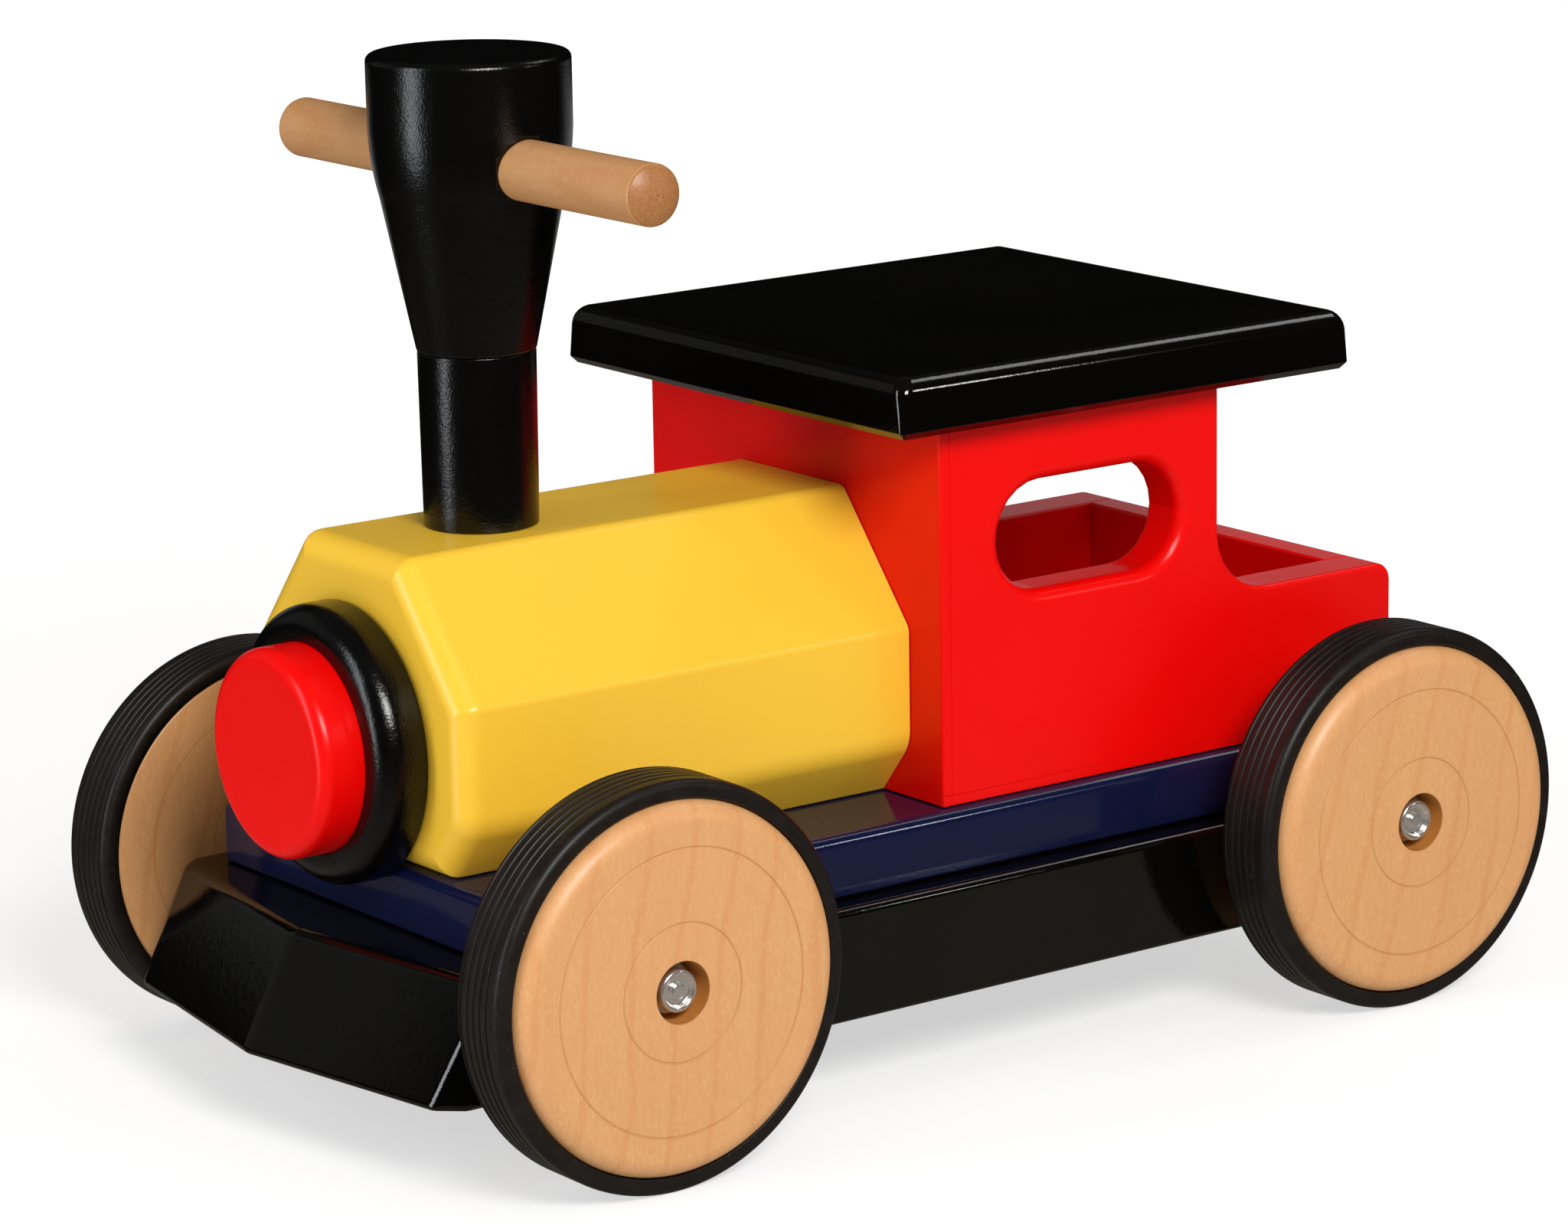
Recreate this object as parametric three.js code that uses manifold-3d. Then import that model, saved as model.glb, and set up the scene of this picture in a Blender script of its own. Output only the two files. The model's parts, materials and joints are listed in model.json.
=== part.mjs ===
// Push-along and ride-on toy steam locomotive in lacquered wood, in millimetres.
// +X is forward, +Y is the left side, +Z is up. The tyres stand on z = 0 and the
// origin is on the ground, in the middle of the whole length and width.
import * as THREE from 'three';
import { mergeVertices } from 'three/addons/utils/BufferGeometryUtils.js';
import { ConvexGeometry } from 'three/addons/geometries/ConvexGeometry.js';
import Module from 'manifold-3d';

const wasm = await Module();
wasm.setup();

// ---------------------------------------------------------------- dimensions
const GAP = 0.3; // glue line or clearance between two pieces that meet
const OVERRUN = 10; // how far a cutting tool runs past the face it opens

// how many flat facets stand in for each kind of round
const TURNED_SEGMENTS = 36;
const BAR_SEGMENTS = 24;
const PIN_SEGMENTS = 16;
const SCREW_SEGMENTS = 10;
const ROUND_STEPS = 4;

// wheels and axles
const WHEELBASE = 350;
const FRONT_AXLE_X = 169;
const REAR_AXLE_X = FRONT_AXLE_X - WHEELBASE;
const TYRE_R = 75;
const AXLE_Z = TYRE_R;
const DISC_R = 68;
const DISC_INNER_Y = 121;
const DISC_OUTER_Y = 152;
const DISC_EDGE_ROUND = 5;
const DISC_BACK_CHAMFER = 1;
const TYRE_OUTER_Y = 147;
const TYRE_SHOULDER = 3;
const TYRE_PROUD = 0.5; // the tyre stands this far behind the back of the disc
const HUB_RECESS_R = 11.3;
const HUB_RECESS_DEPTH = 11;
const AXLE_R = 5;
const AXLE_HALF_LENGTH = 146.5;
const BORE_CLEARANCE = 0.4;
const CAP_R = 7.8;
const CAP_HEIGHT = 6.6;
const CAP_WALL = 1;
const WASHER_R = 9.5;
const WASHER_THICKNESS = 1.5;
const SPACER_R = 10;
const WHEEL_SEGMENTS = 40;

// chassis: two rails, the nose block that forms the cowcatcher, and a rear block
const CHASSIS_BOTTOM_Z = 33;
const CHASSIS_TOP_Z = 76.2;
const CHASSIS_HALF_WIDTH = 109;
const RAIL_WIDTH = 26;
const RAIL_CHAMFER = 1;
const CHASSIS_REAR_X = -221;
const REAR_BLOCK_LENGTH = 26;
const NOSE_REAR_X = 188;
const NOSE_BOTTOM_X = 256;
const NOSE_TOP_X = 233.5;
const NOSE_SWEEP = 0.15; // how far the nose falls back for each millimetre sideways
const NOSE_FACET_Y = 72; // each upper corner facet starts here along the top edge
const NOSE_FACET_FOOT = [102, 57]; // and runs down to this y and z on the corner
const NOSE_CORNER_Y = 100; // the corner below it is cut back from here
const NOSE_CORNER_CUT = 10;
const NOSE_SHOULDER = [217.4, 104]; // where facet and corner cut meet at the top
const NOSE_SIDE_TOP_X = 211.9;

// deck board
const DECK_BOTTOM_Z = CHASSIS_TOP_Z + GAP;
const DECK_TOP_Z = 100.5;
const DECK_FRONT_X = 204.7;
const DECK_HALF_WIDTH = 97;
const DECK_ROUND = 3;

// boiler: an irregular octagon lying along X
const BODY_BOTTOM_Z = DECK_TOP_Z + GAP;
const BOILER_FRONT_X = 206;
const BOILER_ROUND = 9;
const BOILER_TOP_Z = 215;
const BOILER_UPPER_Z = 166.5;
const BOILER_LOWER_Z = 121.7;
const BOILER_TOP_HALF = 33;
const BOILER_SIDE_HALF = 72.5;
const BOILER_FOOT_HALF = 55.5;

// smokebox ring and round door on the boiler front
const SMOKEBOX_Z = 143;
const RING_R = 52;
const RING_THICKNESS = 19.6;
const RING_FRONT_ROUND = 9;
const RING_BACK_ROUND = 2;
const DOOR_R = 39;
const DOOR_FRONT_X = 243.4;
const DOOR_ROUND = 5.5;
const DOOR_SEAT_DEPTH = 5;
const DOOR_DOWEL_REACH = 12; // how far the dowel goes into the back of the door

// chimney and handlebar
const CHIMNEY_X = 147.2;
const STACK_FOOT_R = 21.2;
const STACK_TOP_R = 21.8;
const STACK_TOP_Z = 280;
const HEAD_FOOT_R = 22.1;
const HEAD_R = 37.4;
const HEAD_SHOULDER_Z = 349;
// the soft turn from flare to drum, as radius and height away from the shoulder
const HEAD_SHOULDER_TURN = [[-3, -9], [-1.2, -1.5], [-0.2, 5], [0, 11]];
const HEAD_TOP_Z = 388.5;
const HEAD_RIM_ROUND = 2.6;
const BAR_Z = 349.3;
const BAR_R = 11.2;
const BAR_HALF_LENGTH = 117;
const BAR_DOME_HEIGHT = 3.5;

// cab and bunker box
const CAB_FRONT_X = 5.3;
const CAB_REAR_X = -130.3;
const BUNKER_REAR_X = -220;
const CAB_HALF_WIDTH = 91.8;
const FRONT_PANEL_THICKNESS = 4;
const FLOOR_THICKNESS = 3.7;
const SIDE_THICKNESS = 20;
const REAR_BOARD_THICKNESS = 18;
const WALL_BOTTOM_Z = BODY_BOTTOM_Z + FLOOR_THICKNESS + GAP;
const CAB_TOP_Z = 245.6;
const BUNKER_TOP_Z = 162;
const SIDE_FILLET = 25;
const BUNKER_CORNER_ROUND = 7;
const WINDOW_X = -67.4;
const WINDOW_Z = 197.9;
const WINDOW_R = 20.9;
const WINDOW_STRAIGHT = 46.4;

// roof slab, which is the seat
const ROOF_REAR_X = -183.9;
const ROOF_FRONT_X = 34.3;
const ROOF_HALF_WIDTH = 106.6;
const ROOF_BOTTOM_Z = CAB_TOP_Z + GAP;
const ROOF_TOP_Z = 269;
const ROOF_TOP_ROUND = 7;
const ROOF_BOTTOM_CHAMFER = 3;

// dowels and screws inside the wood
const SMOKEBOX_DOWEL_R = 6;
const SMOKEBOX_DOWEL_REAR_X = 172;
const CHIMNEY_DOWEL_R = 8;
const CHIMNEY_DOWEL_BOTTOM_Z = 176;
const CHIMNEY_DOWEL_TOP_Z = 331;
const ROOF_DOWEL_R = 4;
const ROOF_DOWEL_HALF_LENGTH = 14;
const SCREW_R = 2.2;
const SCREW_HEAD_R = 4.4;
const SCREW_HEAD_HEIGHT = 3;
const SCREW_POINT_LENGTH = 6;
const FRAME_SCREW_SINK = 6; // depth of the screw heads below the chassis underside
const DECK_SCREW_SINK = 1; // depth of the screw heads below the deck underside
const RAIL_SCREW_XS = [110, -120];
const RAIL_SCREW_Y = 91;
const END_SCREW_XS = [196, -208];
const END_SCREW_Y = 50;
const FRAME_SCREW_LENGTH = 52;
const CAB_SCREW_LENGTH = 55;
const CAB_SCREW_Y = 77.5;
const BOILER_SCREW_LENGTH = 60;
const CAB_SCREW_XS = [-30, -160];
const BOILER_SCREW_XS = [40, 105];
const ROOF_DOWEL_XS = [-20, -110];

// ----------------------------------------------------------------- materials
function finish(colour, roughness, metalness = 0) {
  return new THREE.MeshStandardMaterial({ color: colour, roughness, metalness });
}

const BLACK_LACQUER = finish(0x0b0a09, 0.15);
const RED_LACQUER = finish(0xe60d06, 0.3);
const YELLOW_LACQUER = finish(0xf6c63c, 0.3);
const NAVY_LACQUER = finish(0x14173c, 0.2);
const MAPLE = finish(0xdfa871, 0.35);
const BEECH = finish(0xd9b080, 0.6);
const RUBBER = finish(0x1d1a18, 0.7);
const CHROME = finish(0xd8d8d6, 0.12, 1);
const STEEL = finish(0x9a9a98, 0.35, 1);
const NYLON = finish(0x24221f, 0.5);

// ---------------------------------------------------------- solid operations
function toSolid(geometry) {
  const bare = geometry.clone();
  bare.deleteAttribute('normal');
  bare.deleteAttribute('uv');
  const merged = mergeVertices(bare, 1e-4);
  const corners = merged.index.array;
  const kept = [];
  for (let i = 0; i < corners.length; i += 3) {
    const [a, b, c] = corners.slice(i, i + 3);
    if (a !== b && b !== c && c !== a) kept.push(a, b, c);
  }
  const vertProperties = new Float32Array(merged.attributes.position.array);
  const triVerts = new Uint32Array(kept);
  const mesh = new wasm.Mesh({ numProp: 3, vertProperties, triVerts });
  return new wasm.Manifold(mesh);
}

function toGeometry(solid) {
  const mesh = solid.getMesh();
  const geometry = new THREE.BufferGeometry();
  geometry.setAttribute('position', new THREE.BufferAttribute(mesh.vertProperties, 3));
  geometry.setIndex(new THREE.BufferAttribute(mesh.triVerts, 1));
  geometry.computeVertexNormals();
  return geometry;
}

function cut(base, ...tools) {
  return toGeometry(tools.reduce((solid, tool) => solid.subtract(toSolid(tool)), toSolid(base)));
}

function common(first, second) {
  return toGeometry(toSolid(first).intersect(toSolid(second)));
}

// -------------------------------------------------------------- basic shapes
// A box given by its lowest and highest corners.
function block(low, high) {
  const size = high.map((value, axis) => value - low[axis]);
  const centre = high.map((value, axis) => (value + low[axis]) / 2);
  return new THREE.BoxGeometry(...size).translate(...centre);
}

// Extrusion settings that round both ends inwards, so the outline keeps its size.
function edgeBevel(round, steps) {
  return { bevelThickness: round, bevelSize: round, bevelOffset: -round, bevelSegments: steps };
}

// A flat board given like a block, its upper and lower edges rounded or chamfered.
function board(low, high, round, roundSteps) {
  const outline = new THREE.Shape();
  outline.moveTo(low[0], low[1]);
  outline.lineTo(high[0], low[1]);
  outline.lineTo(high[0], high[1]);
  outline.lineTo(low[0], high[1]);
  const depth = high[2] - low[2] - 2 * round;
  const slab = new THREE.ExtrudeGeometry(outline, { depth, ...edgeBevel(round, roundSteps) });
  return slab.translate(0, 0, low[2] + round);
}

// A turned piece. Its profile is a list of [radius, height] pairs, and its axis
// is Y, so the caller turns it to lie along X or to stand along Z. The half step
// puts a flat facet, not a corner, at the bottom of a wheel.
function turned(profile, segments) {
  const points = profile.map(([radius, height]) => new THREE.Vector2(radius, height));
  return new THREE.LatheGeometry(points, segments, Math.PI / segments);
}

// Points on a quarter circle between two directions given in degrees.
function arc(centre, radius, fromDegrees, toDegrees, steps = ROUND_STEPS) {
  const points = [];
  for (let i = 0; i <= steps; i += 1) {
    const angle = THREE.MathUtils.degToRad(fromDegrees + ((toDegrees - fromDegrees) * i) / steps);
    points.push([centre[0] + radius * Math.cos(angle), centre[1] + radius * Math.sin(angle)]);
  }
  return points;
}

function rod(radius, length, segments) {
  return new THREE.CylinderGeometry(radius, radius, length, segments);
}

function uprightRod(radius, bottom, top, x, y, segments = PIN_SEGMENTS) {
  return rod(radius, top - bottom, segments).rotateX(Math.PI / 2).translate(x, y, (top + bottom) / 2);
}

// ------------------------------------------------------------------ assembly
const SIDES = [['left', 1], ['right', -1]];
const locomotive = new THREE.Group();

function place(name, geometry, material, parent = locomotive) {
  const mesh = new THREE.Mesh(geometry, material);
  mesh.name = name;
  parent.add(mesh);
  return mesh;
}

// Countersunk wood screw, driven upwards from z = bottom.
function screwGeometry(length) {
  return turned([
    [0, 0],
    [SCREW_HEAD_R, 0],
    [SCREW_R, SCREW_HEAD_HEIGHT],
    [SCREW_R, length - SCREW_POINT_LENGTH],
    [0, length],
  ], SCREW_SEGMENTS).rotateX(Math.PI / 2);
}

function screwHole(x, y, bottom, top) {
  return uprightRod(SCREW_R + GAP, bottom, top, x, y, SCREW_SEGMENTS);
}

// Wide hole below a sunk screw head; its roof is where the head bears.
function screwCounterbore(x, y, bottom, headTop) {
  return uprightRod(SCREW_HEAD_R + GAP, bottom, headTop, x, y, PIN_SEGMENTS);
}

function axleSlot(x) {
  return rod(AXLE_R + GAP, 2 * (CHASSIS_HALF_WIDTH + OVERRUN), PIN_SEGMENTS).translate(x, 0, AXLE_Z);
}

// ------------------------------------------------------------------- chassis
const FRAME_SCREW_BOTTOM_Z = CHASSIS_BOTTOM_Z + FRAME_SCREW_SINK;
const FRAME_SCREW_TOP_Z = FRAME_SCREW_BOTTOM_Z + FRAME_SCREW_LENGTH;
const frameScrews = SIDES.flatMap(([sideName, side]) => [
  { name: `rail_screw_front_${sideName}`, x: RAIL_SCREW_XS[0], y: side * RAIL_SCREW_Y },
  { name: `rail_screw_rear_${sideName}`, x: RAIL_SCREW_XS[1], y: side * RAIL_SCREW_Y },
  { name: `nose_screw_${sideName}`, x: END_SCREW_XS[0], y: side * END_SCREW_Y },
  { name: `rear_block_screw_${sideName}`, x: END_SCREW_XS[1], y: side * END_SCREW_Y },
]);

// The holes that the frame screws need in one chassis piece, from below.
function frameScrewTools() {
  return frameScrews.flatMap(({ x, y }) => [
    screwCounterbore(x, y, CHASSIS_BOTTOM_Z - OVERRUN, FRAME_SCREW_BOTTOM_Z + SCREW_HEAD_HEIGHT + GAP),
    screwHole(x, y, CHASSIS_BOTTOM_Z, CHASSIS_TOP_Z + OVERRUN),
  ]);
}

function railGeometry(side) {
  const innerY = side * (CHASSIS_HALF_WIDTH - RAIL_WIDTH);
  const outerY = side * CHASSIS_HALF_WIDTH;
  const low = [CHASSIS_REAR_X, Math.min(innerY, outerY), CHASSIS_BOTTOM_Z];
  const high = [NOSE_REAR_X - GAP, Math.max(innerY, outerY), CHASSIS_TOP_Z];
  const slots = [axleSlot(FRONT_AXLE_X), axleSlot(REAR_AXLE_X)];
  return cut(board(low, high, RAIL_CHAMFER, 1), ...slots, ...frameScrewTools());
}

// The cowcatcher slopes forward to the ground and back to both sides. A facet
// takes off each upper front corner, and the upright corner below it is cut back.
function noseFrontX(sideways, z) {
  const slope = (NOSE_BOTTOM_X - NOSE_TOP_X) / (CHASSIS_TOP_Z - CHASSIS_BOTTOM_Z);
  return NOSE_TOP_X - NOSE_SWEEP * sideways + slope * (CHASSIS_TOP_Z - z);
}

function noseGeometry() {
  const cornerFootX = noseFrontX(NOSE_CORNER_Y, CHASSIS_BOTTOM_Z);
  const half = [
    [NOSE_TOP_X, 0, CHASSIS_TOP_Z],
    [NOSE_BOTTOM_X, 0, CHASSIS_BOTTOM_Z],
    [noseFrontX(NOSE_FACET_Y, CHASSIS_TOP_Z), NOSE_FACET_Y, CHASSIS_TOP_Z],
    [noseFrontX(...NOSE_FACET_FOOT), ...NOSE_FACET_FOOT],
    [cornerFootX, NOSE_CORNER_Y, CHASSIS_BOTTOM_Z],
    [cornerFootX - NOSE_CORNER_CUT, CHASSIS_HALF_WIDTH, CHASSIS_BOTTOM_Z],
    [...NOSE_SHOULDER, CHASSIS_TOP_Z],
    [NOSE_SIDE_TOP_X, CHASSIS_HALF_WIDTH, CHASSIS_TOP_Z],
    [NOSE_REAR_X, CHASSIS_HALF_WIDTH, CHASSIS_TOP_Z],
    [NOSE_REAR_X, CHASSIS_HALF_WIDTH, CHASSIS_BOTTOM_Z],
  ];
  const corners = half.flatMap(([x, y, z]) => [
    new THREE.Vector3(x, y, z),
    new THREE.Vector3(x, -y, z),
  ]);
  return new ConvexGeometry(corners);
}

place('chassis_rail_left', railGeometry(1), BLACK_LACQUER);
place('chassis_rail_right', railGeometry(-1), BLACK_LACQUER);
place('cowcatcher', cut(noseGeometry(), ...frameScrewTools()), BLACK_LACQUER);

const REAR_BLOCK_HALF = CHASSIS_HALF_WIDTH - RAIL_WIDTH - GAP;
const rearBlock = block(
  [CHASSIS_REAR_X, -REAR_BLOCK_HALF, CHASSIS_BOTTOM_Z],
  [CHASSIS_REAR_X + REAR_BLOCK_LENGTH, REAR_BLOCK_HALF, CHASSIS_TOP_Z],
);
place('chassis_rear_block', cut(rearBlock, ...frameScrewTools()), BLACK_LACQUER);

for (const { name, x, y } of frameScrews) {
  place(name, screwGeometry(FRAME_SCREW_LENGTH), STEEL).position.set(x, y, FRAME_SCREW_BOTTOM_Z);
}

// ---------------------------------------------------------------------- deck
// These screws come up through the deck into the cab sides and the boiler.
const DECK_SCREW_BOTTOM_Z = DECK_BOTTOM_Z + DECK_SCREW_SINK;
const deckScrews = ['front', 'rear'].flatMap((endName, end) => [
  ...SIDES.map(([sideName, side]) => ({
    name: `cab_screw_${endName}_${sideName}`,
    x: CAB_SCREW_XS[end],
    y: side * CAB_SCREW_Y,
    length: CAB_SCREW_LENGTH,
  })),
  { name: `boiler_screw_${endName}`, x: BOILER_SCREW_XS[end], y: 0, length: BOILER_SCREW_LENGTH },
]);
const deckScrewHoles = deckScrews.map(({ x, y, length }) => (
  screwHole(x, y, DECK_BOTTOM_Z, DECK_SCREW_BOTTOM_Z + length + GAP)
));

function deckGeometry() {
  const low = [CHASSIS_REAR_X, -DECK_HALF_WIDTH, DECK_BOTTOM_Z];
  const high = [DECK_FRONT_X, DECK_HALF_WIDTH, DECK_TOP_Z];
  const slots = [axleSlot(FRONT_AXLE_X), axleSlot(REAR_AXLE_X)];
  const below = DECK_BOTTOM_Z - OVERRUN;
  const pilots = frameScrews.map(({ x, y }) => screwHole(x, y, below, FRAME_SCREW_TOP_Z + GAP));
  const headTop = DECK_SCREW_BOTTOM_Z + SCREW_HEAD_HEIGHT + GAP;
  const seats = deckScrews.map(({ x, y }) => screwCounterbore(x, y, below, headTop));
  return cut(board(low, high, DECK_ROUND, 2), ...slots, ...pilots, ...seats, ...deckScrewHoles);
}

place('deck', deckGeometry(), NAVY_LACQUER);
for (const { name, x, y, length } of deckScrews) {
  place(name, screwGeometry(length), STEEL).position.set(x, y, DECK_SCREW_BOTTOM_Z);
}

// -------------------------------------------------------------------- boiler
// The octagon is drawn in Y and Z and drawn out along X. The bevel rounds both
// ends, and the rear one is cut away where the boiler meets the cab.
function boilerBody() {
  const halfSection = [
    [BOILER_FOOT_HALF, BODY_BOTTOM_Z],
    [BOILER_SIDE_HALF, BOILER_LOWER_Z],
    [BOILER_SIDE_HALF, BOILER_UPPER_Z],
    [BOILER_TOP_HALF, BOILER_TOP_Z],
  ];
  const mirrored = halfSection.map(([y, z]) => [-y, z]).reverse();
  const outline = new THREE.Shape([...halfSection, ...mirrored].map(([y, z]) => new THREE.Vector2(y, z)));
  const length = BOILER_FRONT_X - CAB_FRONT_X;
  const body = new THREE.ExtrudeGeometry(outline, { depth: length, ...edgeBevel(BOILER_ROUND, 3) });
  // shape x, shape y and depth become Y, Z and X
  const turn = new THREE.Matrix4().makeBasis(
    new THREE.Vector3(0, 1, 0),
    new THREE.Vector3(0, 0, 1),
    new THREE.Vector3(1, 0, 0),
  );
  body.applyMatrix4(turn).translate(CAB_FRONT_X - BOILER_ROUND, 0, 0);
  const aheadOfCab = block(
    [CAB_FRONT_X + GAP, -BOILER_SIDE_HALF - OVERRUN, BODY_BOTTOM_Z - OVERRUN],
    [BOILER_FRONT_X + OVERRUN, BOILER_SIDE_HALF + OVERRUN, BOILER_TOP_Z + OVERRUN],
  );
  return common(body, aheadOfCab);
}

const chimneySocket = uprightRod(
  CHIMNEY_DOWEL_R + GAP, CHIMNEY_DOWEL_BOTTOM_Z - GAP, BOILER_TOP_Z + OVERRUN, CHIMNEY_X, 0,
);
const SMOKEBOX_SOCKET_LENGTH = BOILER_FRONT_X - SMOKEBOX_DOWEL_REAR_X + OVERRUN;
const smokeboxSocket = rod(SMOKEBOX_DOWEL_R + GAP, SMOKEBOX_SOCKET_LENGTH, PIN_SEGMENTS)
  .rotateZ(-Math.PI / 2)
  .translate(SMOKEBOX_DOWEL_REAR_X - GAP + SMOKEBOX_SOCKET_LENGTH / 2, 0, SMOKEBOX_Z);
const boilerHoles = [chimneySocket, smokeboxSocket, ...deckScrewHoles];
place('boiler', cut(boilerBody(), ...boilerHoles), YELLOW_LACQUER);

// ------------------------------------------------------------ smokebox front
// Both pieces are turned on X; heights are measured forward from the boiler.
const RING_BACK_X = BOILER_FRONT_X + GAP;
const SEAT_FLOOR = RING_THICKNESS - DOOR_SEAT_DEPTH;
const SEAT_R = DOOR_R + GAP;

const ringProfile = [
  [SMOKEBOX_DOWEL_R + GAP, 0],
  ...arc([RING_R - RING_BACK_ROUND, RING_BACK_ROUND], RING_BACK_ROUND, -90, 0),
  ...arc([RING_R - RING_FRONT_ROUND, RING_THICKNESS - RING_FRONT_ROUND], RING_FRONT_ROUND, 0, 90),
  [SEAT_R, RING_THICKNESS],
  [SEAT_R, SEAT_FLOOR],
  [SMOKEBOX_DOWEL_R + GAP, SEAT_FLOOR],
  [SMOKEBOX_DOWEL_R + GAP, 0],
];
const ring = place('smokebox_ring', turned(ringProfile, TURNED_SEGMENTS), BLACK_LACQUER);
ring.rotation.z = -Math.PI / 2;
ring.position.set(RING_BACK_X, 0, SMOKEBOX_Z);

const DOOR_BACK_X = RING_BACK_X + SEAT_FLOOR + GAP;
const DOOR_THICKNESS = DOOR_FRONT_X - DOOR_BACK_X;
const DOWEL_FRONT_X = DOOR_BACK_X + DOOR_DOWEL_REACH;
const doorProfile = [
  [0, 0],
  [DOOR_R, 0],
  ...arc([DOOR_R - DOOR_ROUND, DOOR_THICKNESS - DOOR_ROUND], DOOR_ROUND, 0, 90),
  [0, DOOR_THICKNESS],
];
const doorSocket = rod(SMOKEBOX_DOWEL_R + GAP, 2 * (DOOR_DOWEL_REACH + GAP), PIN_SEGMENTS);
const door = place('smokebox_door', cut(turned(doorProfile, TURNED_SEGMENTS), doorSocket), RED_LACQUER);
door.rotation.z = -Math.PI / 2;
door.position.set(DOOR_BACK_X, 0, SMOKEBOX_Z);

const dowelLength = DOWEL_FRONT_X - SMOKEBOX_DOWEL_REAR_X;
const smokeboxPin = rod(SMOKEBOX_DOWEL_R, dowelLength, PIN_SEGMENTS);
const smokeboxDowel = place('smokebox_dowel', smokeboxPin, BEECH);
smokeboxDowel.rotation.z = -Math.PI / 2;
smokeboxDowel.position.set(SMOKEBOX_DOWEL_REAR_X + dowelLength / 2, 0, SMOKEBOX_Z);

// ------------------------------------------------------------------- chimney
const STACK_BOTTOM_Z = BOILER_TOP_Z + GAP;
const STACK_HEIGHT = STACK_TOP_Z - STACK_BOTTOM_Z;
const HEAD_BOTTOM_Z = STACK_TOP_Z + GAP;
const HEAD_HEIGHT = HEAD_TOP_Z - HEAD_BOTTOM_Z;
const CHIMNEY_BORE_R = CHIMNEY_DOWEL_R + GAP;

const stackProfile = [
  [CHIMNEY_BORE_R, 0],
  [STACK_FOOT_R, 0],
  [STACK_TOP_R, STACK_HEIGHT],
  [CHIMNEY_BORE_R, STACK_HEIGHT],
  [CHIMNEY_BORE_R, 0],
];
const stack = place('chimney_stack', turned(stackProfile, TURNED_SEGMENTS), BLACK_LACQUER);
stack.rotation.x = Math.PI / 2;
stack.position.set(CHIMNEY_X, 0, STACK_BOTTOM_Z);

// The head flares up from the stack and turns softly into a straight drum.
const SHOULDER = HEAD_SHOULDER_Z - HEAD_BOTTOM_Z;
const headProfile = [
  [0, 0],
  [HEAD_FOOT_R, 0],
  ...HEAD_SHOULDER_TURN.map(([inward, up]) => [HEAD_R + inward, SHOULDER + up]),
  ...arc([HEAD_R - HEAD_RIM_ROUND, HEAD_HEIGHT - HEAD_RIM_ROUND], HEAD_RIM_ROUND, 0, 90, 2),
  [0, HEAD_HEIGHT],
];
const headBody = turned(headProfile, TURNED_SEGMENTS).rotateX(Math.PI / 2);
const barHole = rod(BAR_R + GAP, 2 * (HEAD_R + OVERRUN), BAR_SEGMENTS)
  .translate(0, 0, BAR_Z - HEAD_BOTTOM_Z);
const headSocketTop = CHIMNEY_DOWEL_TOP_Z + GAP - HEAD_BOTTOM_Z;
const headSocket = uprightRod(CHIMNEY_BORE_R, -OVERRUN, headSocketTop, 0, 0);
const head = place('chimney_head', cut(headBody, barHole, headSocket), BLACK_LACQUER);
head.position.set(CHIMNEY_X, 0, HEAD_BOTTOM_Z);

const chimneyPin = uprightRod(CHIMNEY_DOWEL_R, CHIMNEY_DOWEL_BOTTOM_Z, CHIMNEY_DOWEL_TOP_Z, CHIMNEY_X, 0);
place('chimney_dowel', chimneyPin, BEECH);

// A shallow dome closes each end of the bar.
const barDomeR = (BAR_R ** 2 + BAR_DOME_HEIGHT ** 2) / (2 * BAR_DOME_HEIGHT);
const barDomeReach = THREE.MathUtils.radToDeg(Math.asin(BAR_R / barDomeR));
const barDomeCentre = [0, BAR_HALF_LENGTH - barDomeR];
const barEnd = arc(barDomeCentre, barDomeR, 90 - barDomeReach, 90).slice(0, -1);
const barProfile = [
  [0, -BAR_HALF_LENGTH],
  ...barEnd.map(([radius, y]) => [radius, -y]).reverse(),
  ...barEnd,
  [0, BAR_HALF_LENGTH],
];
place('handlebar', turned(barProfile, BAR_SEGMENTS), MAPLE).position.set(CHIMNEY_X, 0, BAR_Z);

// ------------------------------------------------------------ cab and bunker
const FLOOR_TOP_Z = BODY_BOTTOM_Z + FLOOR_THICKNESS;
const PANEL_BACK_X = CAB_FRONT_X - FRONT_PANEL_THICKNESS;
const SIDE_INNER_Y = CAB_HALF_WIDTH - SIDE_THICKNESS;
const SIDE_MIDDLE_Y = CAB_HALF_WIDTH - SIDE_THICKNESS / 2;

const cabFloor = block(
  [BUNKER_REAR_X, -CAB_HALF_WIDTH, BODY_BOTTOM_Z],
  [CAB_FRONT_X, CAB_HALF_WIDTH, FLOOR_TOP_Z],
);
place('cab_floor', cut(cabFloor, ...deckScrewHoles), RED_LACQUER);
place('cab_front_panel', block(
  [PANEL_BACK_X, -CAB_HALF_WIDTH, WALL_BOTTOM_Z],
  [CAB_FRONT_X, CAB_HALF_WIDTH, CAB_TOP_Z],
), RED_LACQUER);

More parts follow.
